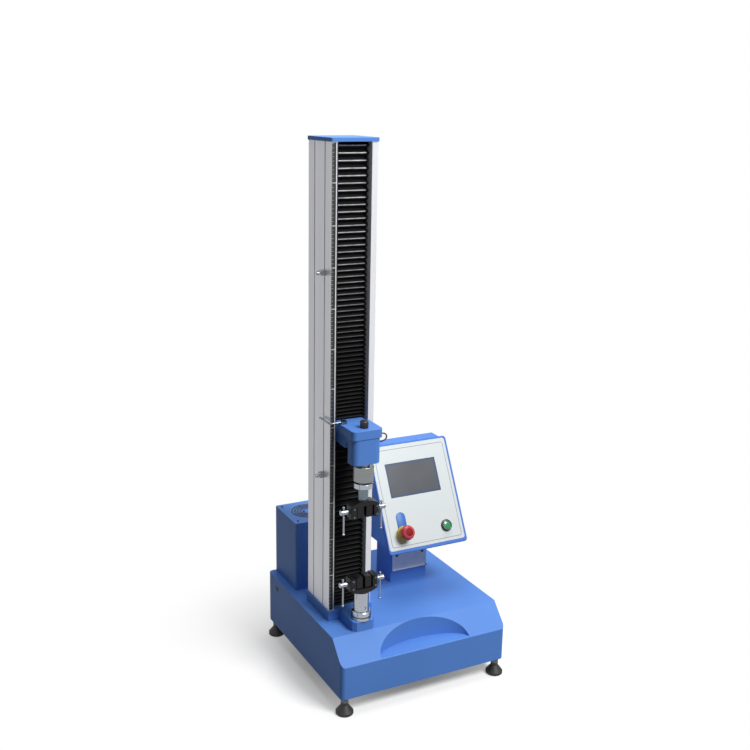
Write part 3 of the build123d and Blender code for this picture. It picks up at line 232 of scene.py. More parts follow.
@dataclass(frozen=True)
class PowderCoat(Finish):
    """Oven-baked epoxy powder: a satin colour with orange peel and a faint hammered speckle."""

    peel: float = 2.4
    speck: float = 1.1
    drift: float = 160.0

    def pattern(self, nodes: Nodes) -> None:
        """Orange peel in the bump, speckle and drift in the colour, drawn coarser than the real 0.5 mm."""
        speck = add_node(nodes.tree, "TexVoronoi", {"Vector": nodes.place, "Scale": per_mm(self.speck)})
        fine = nodes.ranged(speck.outputs["Distance"], (0.1, 0.75), (1.06, 0.93))
        slow = nodes.ranged(nodes.noise(self.drift, detail=1.0), MOST, (0.97, 1.03))
        nodes.tint(self.colour, nodes.math("MULTIPLY", fine, slow))
        peel = nodes.noise(self.peel)
        nodes.gloss(peel, WHOLE, self.rougher(less=0.06, more=0.08))
        nodes.bump(peel, strength=0.35, depth=0.12)


@dataclass(frozen=True)
class DrawnAluminium(Finish):
    """Extruded and satin-anodised aluminium: die lines that run the whole length."""

    line: float = 2.2
    wide: float = 14.0
    along: Point = (1.0, 1.0, 0.004)

    def pattern(self, nodes: Nodes) -> None:
        """Noise pulled out along the extrusion, in colour, gloss and bump."""
        pulled = nodes.scaled(self.along)
        lines = nodes.noise(self.line, detail=4.0, roughness=0.6, place=pulled)
        nodes.tint(self.colour, nodes.ranged(lines, MOST, (0.93, 1.04)))
        wide = nodes.noise(self.wide, detail=1.0, place=pulled)
        nodes.gloss(wide, MOST, self.rougher(less=0.05, more=0.06))
        nodes.bump(lines, strength=0.25, depth=0.06)


@dataclass(frozen=True)
class TurnedMetal(Finish):
    """Metal turned on a lathe about an upright axis: fine rings left by the tool, a few handling marks."""

    metallic: float = 1.0
    feed: float = 1.2
    mark: float = 7.0
    squeeze: Point = (0.02, 0.02, 1.0)

    def pattern(self, nodes: Nodes) -> None:
        """Noise squeezed flat makes the rings, drawn coarser than the real 0.1 mm feed."""
        rings = nodes.noise(self.feed, detail=3.0, roughness=0.65, place=nodes.scaled(self.squeeze))
        nodes.tint(self.colour, nodes.ranged(rings, MOST, (0.86, 1.06)))
        marks = nodes.noise(self.mark, detail=5.0, roughness=0.7)
        nodes.gloss(marks, (0.35, 0.75), self.rougher(less=0.04, more=0.12))
        nodes.bump(rings, strength=0.2, depth=0.05)


@dataclass(frozen=True)
class BlackenedSteel(Finish):
    """Machined steel with black oxide: dark and slightly oily, paler where it is handled."""

    cloud: float = 11.0
    grain: float = 0.9

    def pattern(self, nodes: Nodes) -> None:
        """Cloudy oxide tone and a fine milled grain."""
        cloud = nodes.noise(self.cloud, detail=4.0)
        nodes.tint(self.colour, nodes.ranged(cloud, (0.35, 0.7), (0.75, 1.5)))
        smooth_end, rough_end = self.rougher(less=0.08, more=0.1)
        nodes.gloss(cloud, WHOLE, (rough_end, smooth_end))
        nodes.bump(nodes.noise(self.grain), strength=0.3, depth=0.05)


@dataclass(frozen=True)
class MouldedPlastic(Finish):
    """Injection-moulded plastic: an even colour with a spark-eroded grain."""

    grain: float = 0.8
    flow: float = 35.0
    depth: float = 0.04

    def pattern(self, nodes: Nodes) -> None:
        """Grain in bump and gloss, and a slow change of tone from the moulding's flow."""
        flow = nodes.ranged(nodes.noise(self.flow), MOST, (0.94, 1.05))
        nodes.tint(self.colour, flow)
        grain = nodes.noise(self.grain)
        nodes.gloss(grain, WHOLE, self.rougher(less=0.05, more=0.07))
        nodes.bump(grain, strength=0.3, depth=self.depth)


@dataclass(frozen=True)
class TwoPartFoot(MouldedPlastic):
    """Black nylon pad below a zinc-plated hexagon and stud."""

    metal_above: float = 33.0
    zinc: str = "#5f6266"

    def pattern(self, nodes: Nodes) -> None:
        """The moulded grain, changed to bright zinc above the pad's neck."""
        super().pattern(nodes)
        metal = nodes.math("GREATER_THAN", nodes.split(nodes.place).outputs["Z"], self.metal_above * MM)
        nylon = nodes.shader.inputs["Base Color"].links[0].from_socket
        nodes.colour(metal, nylon, linear(self.zinc))
        nodes.link(metal, "Metallic")


@dataclass(frozen=True)
class FoldedCloth(Finish):
    """PVC-coated polyester, folded and welded: black, with a painted pale highlight along the fold crests,
    stronger near the top.
    """

    # Colour of the painted highlight along the fold crests
    highlight_colour: str = "#dcdce0"
    weave: float = 1.1
    patch: float = 16.0
    half: float = 43.5
    border: float = 7.0
    front_y: float = -85.0
    # Depths behind the front, in mm, where the painted highlight begins and where it is full
    polished: Span = (3.2, 0.9)

    def pattern(self, nodes: Nodes) -> None:
        """Weave bump, and a painted highlight on the fold crests, from how far forward and how high up the
        strip they are.
        """
        apart = nodes.split(nodes.place)
        behind, ahead = ((self.front_y + v) * MM for v in self.polished)
        forward = nodes.ranged(apart.outputs["Y"], (behind, ahead), WHOLE)
        side = nodes.math("ABSOLUTE", nodes.math("SUBTRACT", apart.outputs["X"], COLUMN_X * MM))
        # Keeps the painted highlight off the last border mm at each side of the strip
        inner = nodes.math("LESS_THAN", side, (self.half - self.border) * MM)
        # Strength of the painted highlight by height, stored on the bellows' mesh
        rise = add_node(nodes.tree, "Attribute", attribute_name="rise").outputs["Fac"]
        # Random patches make the painted highlight uneven
        highlight_patches = nodes.ranged(nodes.noise(self.patch), (0.3, 0.65), (0.55, 1.0))
        amount = nodes.math("MULTIPLY", nodes.math("MULTIPLY", forward, inner),
                            nodes.math("MULTIPLY", rise, highlight_patches))
        nodes.colour(amount, linear(self.colour), linear(self.highlight_colour))
        nodes.bump(nodes.noise(self.weave, detail=1.0), strength=0.4, depth=0.08)


@dataclass(frozen=True)
class RulerTape(Finish):
    """Black tape printed with pale marks: each 5 mm short, each 10 mm longer, each 100 mm right across."""

    ink: str = "#a9a9ac"
    left_x: float = -214.217
    width: float = 11.0
    zero_z: float = 224.0
    grain: float = 1.5
    marks: tuple[Point, ...] = ((5.0, 0.7, 0.25), (10.0, 1.1, 0.45), (100.0, 2.4, 1.01))

    def pattern(self, nodes: Nodes) -> None:
        """Marks from the height over the column's foot: step, thickness (drawn thick to show) and reach."""
        apart = nodes.split(nodes.place)
        across = nodes.math("SUBTRACT", apart.outputs["X"], self.left_x * MM)
        up = nodes.math("SUBTRACT", apart.outputs["Z"], self.zero_z * MM)
        total: Socket | float = 0.0
        for step, thick, reach in self.marks:
            level = nodes.math("ABSOLUTE", nodes.math("WRAP", up, step * MM / 2, -step * MM / 2))
            on = nodes.math("LESS_THAN", level, thick * MM / 2)
            short = nodes.math("LESS_THAN", across, self.width * reach * MM)
            total = nodes.math("MAXIMUM", total, nodes.math("MULTIPLY", on, short))
        nodes.colour(total, linear(self.colour), linear(self.ink))
        nodes.bump(nodes.noise(self.grain), strength=0.1, depth=0.03)


@dataclass(frozen=True)
class PanelPlace:
    """Where the tilted panel is, as part.py has it, in millimetres and degrees."""

    x: float = 95.55
    y: float = -84.5
    z: float = 336.0
    tilt: float = 27.6

    def matrix(self, u: float = 0.0, v: float = 0.0, lift: float = 0.0) -> Matrix:
        """Places a piece made at the origin, lying flat, on the panel.

        Args:
            u: Across from the panel's middle, in mm.
            v: Up from its lower edge, in mm.
            lift: Outwards from its face, in mm.

        Returns:
            Matrix whose X runs across the panel, Y up it and Z outwards.
        """
        a = math.radians(self.tilt)
        across = Vector((1, 0, 0))
        up = Vector((0, math.sin(a), math.cos(a)))
        out = Vector((0, -math.cos(a), math.sin(a)))
        place = (Vector((self.x, self.y, self.z)) + u * across + v * up + lift * out) * MM
        return Matrix.Translation(place) @ Matrix((across, up, out)).transposed().to_4x4()

    def reach(self, nodes: Nodes, middle: Span) -> list[Socket]:
        """Distances across and up the panel from a point of it, in metres and never negative."""
        back = self.matrix(*middle).inverted()
        turned_back = add_node(nodes.tree, "Mapping", {
            "Vector": nodes.place, "Location": tuple(back.to_translation()),
            "Rotation": tuple(back.to_euler("XYZ"))})
        apart = nodes.split(turned_back.outputs[0])
        return [nodes.math("ABSOLUTE", apart.outputs[axis]) for axis in "XY"]


PANEL = PanelPlace()


@dataclass(frozen=True)
class PanelFilm(Finish):
    """Satin polycarbonate film, printed white behind, with a thin grey frame line."""

    line_colour: str = "#575e72"
    line: float = 1.3
    middle: Span = (-1.5, 150.5)
    size: Span = (217.0, 263.0)
    corner: float = 5.0
    grain: float = 0.9

    def pattern(self, nodes: Nodes) -> None:
        """The frame line from the distance to a rounded rectangle, and the film's fine grain."""
        past = [nodes.math("SUBTRACT", away, (size / 2 - self.corner) * MM)
                for away, size in zip(PANEL.reach(nodes, self.middle), self.size)]
        outside = [nodes.math("MAXIMUM", value, 0.0) for value in past]
        corner = add_node(nodes.tree, "CombineXYZ", {"X": outside[0], "Y": outside[1]})
        far = add_node(nodes.tree, "VectorMath", {0: corner.outputs[0]}, operation="LENGTH").outputs["Value"]
        deep = nodes.math("MINIMUM", nodes.math("MAXIMUM", *past), 0.0)
        edge = nodes.math("SUBTRACT", nodes.math("ADD", far, deep), self.corner * MM)
        line = nodes.math("LESS_THAN", nodes.math("ABSOLUTE", edge), self.line * MM / 2)
        nodes.colour(line, linear(self.colour), linear(self.line_colour))
        grain = nodes.noise(self.grain, detail=1.0)
        nodes.gloss(grain, WHOLE, self.rougher(less=0.05, more=0.05))
        nodes.bump(grain, strength=0.15, depth=0.03)


@dataclass(frozen=True)
class TouchGlass(Finish):
    """Touch screen that is switched off: grey film under glass, with a printed blue border."""

    border_colour: str = "#0f3358"
    border: float = 5.0
    middle: Span = (-6.0, 197.0)
    size: Span = (156.4, 93.4)
    cloud: float = 60.0

    def pattern(self, nodes: Nodes) -> None:
        """Border from the distance to the glass's edge, and the faint cloud of a dusty screen."""
        sides = [nodes.math("GREATER_THAN", away, (size / 2 - self.border) * MM)
                 for away, size in zip(PANEL.reach(nodes, self.middle), self.size)]
        cloud = nodes.noise(self.cloud)
        dusty = nodes.shaded(self.colour, nodes.ranged(cloud, MOST, (0.9, 1.12)))
        nodes.colour(nodes.math("MAXIMUM", *sides), dusty, linear(self.border_colour))
        nodes.gloss(cloud, WHOLE, self.rougher(less=0.0, more=0.08))


@dataclass(frozen=True)
class RolledThread(Finish):
    """Ground steel ball screw: a helical groove of the screw's own lead."""

    metallic: float = 1.0
    lead: float = 10.0
    depth: float = 1.2
    axis_y: float = -4.0
    grain: float = 2.0

    def pattern(self, nodes: Nodes) -> None:
        """The groove from the angle about the axis and the height."""
        axis = (COLUMN_X * MM, self.axis_y * MM, 0.0)
        middle = add_node(nodes.tree, "VectorMath", {0: nodes.place, 1: axis}, operation="SUBTRACT")
        apart = nodes.split(middle.outputs[0])
        angle = nodes.math("ARCTAN2", apart.outputs["Y"], apart.outputs["X"])
        rise = nodes.math("MULTIPLY", apart.outputs["Z"], 2 * math.pi / (self.lead * MM))
        nodes.bump(nodes.math("COSINE", nodes.math("SUBTRACT", rise, angle)), strength=1.0, depth=self.depth)
        nodes.gloss(nodes.noise(self.grain), WHOLE, self.rougher(less=0.04, more=0.1))


# Middle blue, even and satin, with a slight pebble that breaks up the light
BLUE_COAT = PowderCoat("blue_powder_coat", "#5482cc", 0.52, specular=0.2)
PANEL_BLUE = PowderCoat("panel_edge_blue", "#3f6cbd", 0.5, specular=0.3)
# Pale grey with long fine streaks
PROFILE = DrawnAluminium("satin_anodised_profile", "#e0e1e6", 0.38, metallic=0.45, anisotropy=0.3)
STOP_METAL = DrawnAluminium("machined_aluminium", "#8b8d92", 0.35, metallic=1.0, line=1.0,
                            along=(1.0, 0.05, 1.0))
# Greys from dull to mirror-like, with faint rings round each piece
CELL_METAL = TurnedMetal("nickel_plated_cell", "#868a8a", 0.3)
GROUND_STEEL = TurnedMetal("ground_steel", "#6d7882", 0.26)
RING_STEEL = TurnedMetal("polished_ring_steel", "#a9aeb6", 0.2)
CHROME = TurnedMetal("bright_chrome", "#8e929a", 0.12)
PLATE_STEEL = TurnedMetal("zinc_plated_plate", "#8f9296", 0.4, feed=6.0, squeeze=(1.0, 0.05, 1.0))
SCREW_STEEL = RolledThread("ball_screw_steel", "#a2a5aa", 0.2)
# Almost black, with a dull oily shine
BLACK_STEEL = BlackenedSteel("black_oxide_steel", "#0f0f11", 0.42, metallic=0.5)
MOTOR_BLACK = BlackenedSteel("cast_motor_black", "#1b1b1c", 0.5, metallic=0.2)
# Dead black cloth, with pale highlight lines painted where the folds come forward
BELLOWS_CLOTH = FoldedCloth("coated_bellows_cloth", "#050506", 0.7, specular=0.12)
# Matt black with a fine white scale
RULER = RulerTape("ruler_tape", "#08080a", 0.5)
# Even dark plastics and rubber with a fine grain
BLACK_ABS = MouldedPlastic("black_abs", "#0e0e10", 0.45)
BLACK_RUBBER = MouldedPlastic("black_rubber", "#0b0b0c", 0.6, grain=1.4, depth=0.06)
FOOT = TwoPartFoot("foot_nylon_and_zinc", "#0c0b0b", 0.55)
# Signal colours: glossy red and green, dull yellow
RED_CAP = MouldedPlastic("red_polycarbonate", "#a51a26", 0.3, coat=0.3)
DARK_RED = MouldedPlastic("dark_red_crown", "#7a0a15", 0.6, specular=0.2)
YELLOW_COLLAR = MouldedPlastic("yellow_collar", "#b39a14", 0.45)
GREEN_LENS = MouldedPlastic("green_lens", "#0d7a44", 0.2, coat=0.6, coat_roughness=0.06)
# Off-white door and bright blue plate, both matt
GREY_DOOR = MouldedPlastic("printer_grey", "#e6e4e3", 0.5, grain=1.2)
BLUE_LABEL = MouldedPlastic("blue_label", "#1d5ba6", 0.45)
# White that stays soft under the lamp, and dark glass without a mirror image
FILM = PanelFilm("white_panel_film", "#bdc3c4", 0.45)
SCREEN = TouchGlass("touch_screen_glass", "#30343c", 0.3)


# Making pieces


def choose(*pieces: Piece) -> None:
    """Selects some pieces only, or none, and makes the first one active."""
    bpy.ops.object.select_all(action="DESELECT")
    for piece in pieces:
        piece.select_set(True)
    bpy.context.view_layer.objects.active = pieces[0] if pieces else None


@contextmanager
def editing(piece: Piece, action: str = "SELECT") -> Iterator[None]:
    """Edit mode on one piece, with all of it selected at its start, or nothing for "DESELECT"."""
    choose(piece)
    bpy.ops.object.mode_set(mode="EDIT")
    bpy.ops.mesh.select_mode(type="EDGE")
    bpy.ops.mesh.select_all(action=action)
    yield
    bpy.ops.object.mode_set(mode="OBJECT")


def settle(piece: Piece, name: str, matrix: Matrix | None = None) -> Piece:
    """Names a piece and puts its place into its mesh.

    Args:
        piece: Piece to settle.
        name: Its new name.
        matrix: Where it goes, or None to leave it.

    Returns:
        The piece.
    """
    choose(piece)
    if matrix is not None:
        piece.matrix_world = matrix @ piece.matrix_world
    bpy.ops.object.transform_apply(location=True, rotation=True, scale=True)
    piece.name = name
    piece.data.name = name
    return piece


def cuboid(name: str, low: Point, high: Point, bevel: float = 0.0, segments: int = 2) -> Piece:
    """Box between two corners in mm, its edges rounded.

    Args:
        name: Piece's name.
        low: Lowest corner.
        high: Highest corner.
        bevel: Radius of its edges.
        segments: Faces round each edge.

    Returns:
        The piece.
    """
    choose()
    middle = [(a + b) / 2 * MM for a, b in zip(low, high)]
    size = [(b - a) * MM for a, b in zip(low, high)]
    bpy.ops.mesh.primitive_cube_add(size=1.0, location=middle, scale=size)
    piece = settle(bpy.context.object, name)
    if bevel:
        with editing(piece):
            bpy.ops.mesh.bevel(offset=bevel * MM, segments=segments, affect="EDGES")
    return piece


def turned(name: str, profile: Sequence[Span], matrix: Matrix, sides: int = 40,
           hollow: bool = False) -> Piece:
    """Turned piece: a circle extruded and resized along its axis, point by point.

    Args:
        name: Piece's name.
        profile: Radius and height of each ring, in mm.
        matrix: Where the piece goes; its axis is the matrix's Z.
        sides: Corners of each ring.
        hollow: Joins the last ring back to the first instead of closing both ends.

    Returns:
        The piece.
    """
    choose()
    r, z = profile[0]
    bpy.ops.mesh.primitive_circle_add(vertices=sides, radius=r * MM, location=(0, 0, z * MM))
    piece = bpy.context.object
    with editing(piece):
        for radius, height in profile[1:]:
            bpy.ops.mesh.extrude_region_move(TRANSFORM_OT_translate={"value": (0, 0, (height - z) * MM)})
            bpy.ops.transform.resize(value=(radius / r, radius / r, 1.0), center_override=(0, 0, height * MM))
            r, z = radius, height
        bpy.ops.mesh.select_all(action="DESELECT")
        bpy.ops.mesh.select_non_manifold()
        if hollow:
            bpy.ops.mesh.bridge_edge_loops()
        else:
            bpy.ops.mesh.fill_holes(sides=0)
        bpy.ops.mesh.select_all(action="SELECT")
        bpy.ops.mesh.normals_make_consistent(inside=False)
    return settle(piece, name, matrix)


def at(x: float, y: float, z: float, turn: Turn = Turn.UP) -> Matrix:
    """Matrix that places a piece at a point in mm, its axis turned."""
    return Matrix.Translation(Vector((x, y, z)) * MM) @ turn.matrix()


def modify(piece: Piece, kind: str, **settings) -> None:
    """Applies one modifier with these settings to a piece."""
    choose(piece)
    tool = piece.modifiers.new(kind.lower(), kind)
    for key, value in settings.items():
        setattr(tool, key, value)
    bpy.ops.object.modifier_apply(modifier=tool.name)


def cut(piece: Piece, cutter: Piece) -> None:
    """Cuts one piece by another, which is used up."""
    modify(piece, "BOOLEAN", operation="DIFFERENCE", solver="EXACT", object=cutter)
    bpy.data.objects.remove(cutter)


def joined(pieces: Sequence[Piece], name: str) -> Piece:
    """Makes several pieces one, with a new name."""
    choose(*pieces)
    bpy.ops.object.join()
    return settle(bpy.context.object, name)


def copies(piece: Piece, name: str, places: Sequence[Matrix]) -> Piece:
    """Copies a piece to several places and joins the copies.

    Args:
        piece: Piece made at the origin; it is used up.
        name: Name of the joined piece.
        places: Where each copy goes.

    Returns:
        The joined piece.
    """
    made = []
    for place in places:
        choose(piece)
        bpy.ops.object.duplicate()
        made.append(settle(bpy.context.object, f"{name}_copy", place))
    bpy.data.objects.remove(piece)
    return joined(made, name)


def socket_screw(r: float, h: float, key: float) -> Piece:
    """Cap screw's head at the origin, pointing up: radius, height and radius of its hexagon socket in mm."""
    head = turned("head", [(r, 0.0), (r, h * 0.86), (r * 0.93, h)], Matrix(), sides=24)
    choose()
    bpy.ops.mesh.primitive_cylinder_add(vertices=6, radius=key * MM, depth=h * MM, location=(0, 0, h * MM))
    cut(head, bpy.context.object)
    return head


def pan_screw(r: float, h: float) -> Piece:
    """Pan-head screw with a crossed recess, at the origin, pointing up: radius and height in mm."""
    dome = [(r, 0.0), (r * 0.97, h * 0.45), (r * 0.8, h * 0.8), (r * 0.45, h)]
    head = turned("head", dome, Matrix(), sides=20)
    for turn in (0.0, math.pi / 2):
        choose()
        bpy.ops.mesh.primitive_cube_add(size=1.0, location=(0, 0, h * MM), rotation=(0, 0, turn),
                                        scale=(r * 1.1 * MM, r * 0.22 * MM, h * 0.8 * MM))
        cut(head, bpy.context.object)
    return head


def smooth(piece: Piece, degrees: float = 35.0) -> None:
    """Smooth shading across edges flatter than an angle."""
    choose(piece)
    bpy.ops.object.shade_smooth_by_angle(angle=math.radians(degrees))


def paint(piece: Piece, finish: Finish) -> None:
    """Gives a piece one finish only."""
    piece.data.materials.clear()
    piece.data.materials.append(finish.material())


def added(name: str, data: bpy.types.ID) -> Piece:
    """New object of the scene with this data."""
    piece = bpy.data.objects.new(name, data)
    bpy.context.scene.collection.objects.link(piece)
    return piece


def fit(piece: Piece, body: str, finish: Finish) -> None:
    """Gives a new piece its finish and lets it ride on a body.

    Args:
        piece: Finished mesh, in place.
        body: CAD body that carries it.
        finish: Its finish.
    """
    smooth(piece)
    paint(piece, finish)
    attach(piece, body)
    LOG.info("piece %s rides on %s in %s", piece.name, body, finish.name)


def dress(finish: Finish, *nodes: str) -> None:
    """Gives a finish to the CAD nodes with these names."""
    for name in nodes:
        paint(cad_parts[name], finish)
        LOG.info("node %s in %s", name, finish.name)


# Sub-assemblies


@dataclass
class Base:
    """Sheet base on four feet, with the switch and the inlet."""

    inlet_x: float = 120.0
    inlet_z: float = 110.0
    back: float = 242.0
    pins: tuple[Span, ...] = ((-7.0, -2.0), (7.0, -2.0), (0.0, 2.0))
    pin_low: Point = (-1.15, -14.0, -2.15)
    pin_high: Point = (1.15, -1.6, 2.15)
    ear_x: float = 18.5
    ear_t: float = 2.0

    def build(self) -> None:
        """Dresses the nodes and adds the inlet's pins and screws."""
        dress(BLUE_COAT, "base_cover", "column_foot_block")
        dress(PLATE_STEEL, "base_plate")
        dress(BLACK_ABS, "switch_housing", "power_rocker", "mains_inlet")
        dress(FOOT, *(f"levelling_foot_{end}_{side}" for end in ("front", "rear")
                      for side in ("left", "right")))
        self.inlet_pins()
        self.inlet_screws()

    def inlet_pins(self) -> None:
        """Nickel sleeves over the inlet's three pins, their tips bevelled."""
        made = cuboid("pin", self.pin_low, self.pin_high, bevel=0.5)
        places = [at(self.inlet_x + x, self.back, self.inlet_z + z) for x, z in self.pins]
        fit(copies(made, "inlet_pins", places), "frame", GROUND_STEEL)

    def inlet_screws(self) -> None:
        """Two screws through the inlet's ears."""
        places = [at(self.inlet_x + s * self.ear_x, self.back + self.ear_t, self.inlet_z, Turn.BACK)
                  for s in (-1, 1)]
        fit(copies(pan_screw(r=2.6, h=1.3), "inlet_screws", places), "frame", GROUND_STEEL)


@dataclass
class Column:
    """Profile with its ruler, top plate and drive."""

    front: float = -99.0
    width: float = 122.0
    foot: float = 224.0
    top: float = 1418.0
    end_gap: float = 2.0
    strip_t: float = 0.35
    sunk: float = 0.02
    tape: Span = (0.3, 11.0)
    bead: Span = (13.9, 2.0)

    def build(self) -> None:
        """Dresses the nodes and adds the ruler and the bead beside the bellows."""
        dress(PROFILE, "column_extrusion")
        dress(BLUE_COAT, "top_plate")
        dress(GROUND_STEEL, "guides_and_bearings", "carriage_bearings")
        dress(SCREW_STEEL, "ball_screw")
        dress(STOP_METAL, "screw_pulley", "motor_pulley", "upper_limit_stop", "lower_limit_stop")
        dress(BLACK_RUBBER, "drive_belt")
        dress(MOTOR_BLACK, "drive_motor")
        self.strip("ruler_tape_strip", self.tape, RULER)
        self.strip("bellows_edge_bead", self.bead, BLACK_RUBBER)

    def strip(self, name: str, place: Span, finish: Finish) -> None:
        """Thin strip up the column's left edge; its place is how far in it begins and how wide it is."""
        inset, width = place
        x0 = COLUMN_X - self.width / 2 + inset
        low = (x0, self.front - self.strip_t, self.foot + self.end_gap)
        high = (x0 + width, self.front + self.sunk, self.top - self.end_gap)
        fit(cuboid(name, low, high, bevel=0.1, segments=1), "frame", finish)


@dataclass
class Bellows:
    """One folded strip of coated cloth between two rails, folded as the CAD node is."""

    name: str
    node: str
    low: float
    high: float
    start: float
    end: float
    body_a: str = "frame"
    body_b: str = "crosshead"
    half: float = 43.5
    front: float = -85.0
    depth: float = 14.0
    sheet: float = 1.4
    pleat_long: float = 18.0
    pleat_short: float = 9.0
    weld: float = 1.2
    crease: float = 0.35
    # Painted highlight on the folds: full above this height, fading over this span down to its least
    highlight_from: float = 880.0
    highlight_over: float = 520.0
    least_highlight: float = 0.04

    def folds(self) -> list[Span]:
        """Fold points (y, z) of the strip, back and front by turns, in mm."""
        count = round((self.high - self.low) / ((self.pleat_long + self.pleat_short) / 2))
        steps = [self.pleat_short + (self.pleat_long - self.pleat_short) * i / count for i in range(count)]
        scale = (self.high - self.low) / sum(steps)
        back = self.front + self.depth - self.sheet / 2
        line = []
        z = self.low
        for step in steps:
            line.append((back, z))
            line.append((self.front + self.sheet / 2, z + step * scale / 2))
            z += step * scale
        line.append((back, self.high))
        return line

    def build(self) -> None:
        """Extrudes the strip fold by fold from one edge of a plane and finishes it."""
        line = self.folds()
        y, z = line[0]
        choose()
        # Only the front edge of this plane, 1 m deep, is kept
        bpy.ops.mesh.primitive_plane_add(size=1.0, location=(COLUMN_X * MM, y * MM + 0.5, z * MM))
        strip = bpy.context.object
        strip.scale = (2 * self.half * MM, 1.0, 1.0)
        settle(strip, self.name)
        with editing(strip):
            mesh = bmesh.from_edit_mesh(strip.data)
            for vertex in [v for v in mesh.verts if v.co.y > y * MM + 0.5]:
                mesh.verts.remove(vertex)
            bmesh.update_edit_mesh(strip.data)
            bpy.ops.mesh.select_all(action="SELECT")
            for (y0, z0), (y1, z1) in zip(line, line[1:]):
                bpy.ops.mesh.extrude_region_move(
                    TRANSFORM_OT_translate={"value": (0, (y1 - y0) * MM, (z1 - z0) * MM)})
        self.thicken(strip)
        self.mark_rise(strip)
        smooth(strip, degrees=60.0)
        paint(strip, BELLOWS_CLOTH)
        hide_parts(self.node)
        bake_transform(strip)
        LOG.info("piece %s bends between %s and %s", self.name, self.body_a, self.body_b)

    def thicken(self, strip: Piece) -> None:
        """Gives the folded sheet its thickness and rounds each crease."""
        modify(strip, "SOLIDIFY", thickness=self.weld * MM, offset=0.0)
        modify(strip, "BEVEL", width=self.crease * MM, segments=2, limit_method="ANGLE",
               angle_limit=math.radians(25.0))
        with editing(strip):
            bpy.ops.mesh.normals_make_consistent(inside=False)

    def mark_rise(self, strip: Piece) -> None:
        """Stores how strong each point's painted highlight is, stronger towards the column's top."""
        rise = strip.data.attributes.new("rise", "FLOAT", "POINT")
        levels = [min(max((v.co.z / MM - self.highlight_from) / self.highlight_over, self.least_highlight), 1.0)
                  for v in strip.data.vertices]
        rise.data.foreach_set("value", levels)


@dataclass
class RearHousing:
    """Motor housing with its vent and fan."""

    y: float = 167.5
    top: float = 394.0
    pitch: float = 56.0
    wire: float = 1.7
    rings: tuple[float, ...] = (46.0, 38.0, 30.0, 22.0)

    def build(self) -> None:
        """Dresses the nodes and adds the top's screws and the finger guard."""
        dress(BLUE_COAT, "rear_housing")
        dress(BLACK_ABS, "fan_frame", "fan_rotor")
        places = [at(COLUMN_X + sx * self.pitch, self.y + sy * self.pitch, self.top)
                  for sx in (-1, 1) for sy in (-1, 1)]
        screws = copies(pan_screw(r=3.4, h=1.9), "housing_top_screws", places)
        fit(screws, "frame", BLACK_STEEL)
        self.guard()

    def guard(self) -> None:
        """Finger guard: black wire rings that lie in the vent's slots."""
        made = []
        for radius in self.rings:
            choose()
            bpy.ops.mesh.primitive_torus_add(major_segments=72, minor_segments=10, major_radius=radius * MM,
                                             minor_radius=self.wire * MM)
            place = at(COLUMN_X, self.y, self.top)
            made.append(settle(bpy.context.object, f"guard_ring_{radius:.0f}", place))
        fit(joined(made, "fan_guard_rings"), "frame", BLACK_ABS)


@dataclass
class Crosshead:
    """Arm with its covers, load cell, knob, trip rod and lead."""

    cap_half: float = 42.0
    cover_half: float = 38.5
    seam: float = 713.5
    lead_r: float = 1.8
    lead_rise: float = 3.0
    lead_drop: float = 22.0
    lead_reach: float = 21.0
    lead_length: float = 58.0
    bush: tuple[Span, ...] = ((3.4, 0.0), (3.4, 1.0), (2.5, 2.0), (1.85, 2.0), (1.85, 0.0))

    def build(self) -> None:
        """Dresses the nodes and adds the lead with its two bushes."""
        dress(BLUE_COAT, "crosshead_arm", "arm_cap", "arm_front_cover")
        dress(PLATE_STEEL, "crosshead_carriage")
        dress(CELL_METAL, "load_cell")
        dress(BLACK_ABS, "load_cell_knob")
        dress(GROUND_STEEL, "trip_rod")
        self.lead()
        self.bushes()

    def route(self) -> list[Point]:
        """Points of the lead's route, as part.py has them, in mm."""
        x0 = COLUMN_X + self.cap_half
        x1 = x0 + self.lead_reach
        z1 = self.seam + self.lead_rise
        z0 = z1 - self.lead_drop
        y = LOAD_AXIS_Y
        return [(x0, y, z1), (x1, y, z1), (x1, y, z0), (COLUMN_X + self.cover_half, y, z0)]

    def lead(self) -> None:
        """The load cell's lead, one smooth loop from the cap's side back into the cover."""
        curve = bpy.data.curves.new("load_cell_lead", "CURVE")
        curve.dimensions = "3D"
        curve.bevel_depth = self.lead_r * MM
        curve.bevel_resolution = 6
        curve.resolution_u = 24
        curve.use_fill_caps = True
        spline = curve.splines.new("NURBS")
        points = self.route()
        spline.points.add(len(points) - 1)
        for point, place in zip(spline.points, points):
            point.co = (place[0] * MM, place[1] * MM, place[2] * MM, 1.0)
        spline.order_u = 3
        spline.use_endpoint_u = True
        piece = added("load_cell_lead", curve)
        curve.materials.append(BLACK_RUBBER.material())
        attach(piece, "crosshead")
        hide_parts("load_cell_cable")
        LOG.info("cord load_cell_lead rides on crosshead")

    def bushes(self) -> None:
        """Rubber bushes where the lead passes through the cap and the cover."""
        points = self.route()
        bush = turned("bush", self.bush, Matrix(), sides=24, hollow=True)
        places = [at(*point, Turn.RIGHT) for point in (points[0], points[-1])]
        fit(copies(bush, "lead_bushes", places), "crosshead", BLACK_RUBBER)


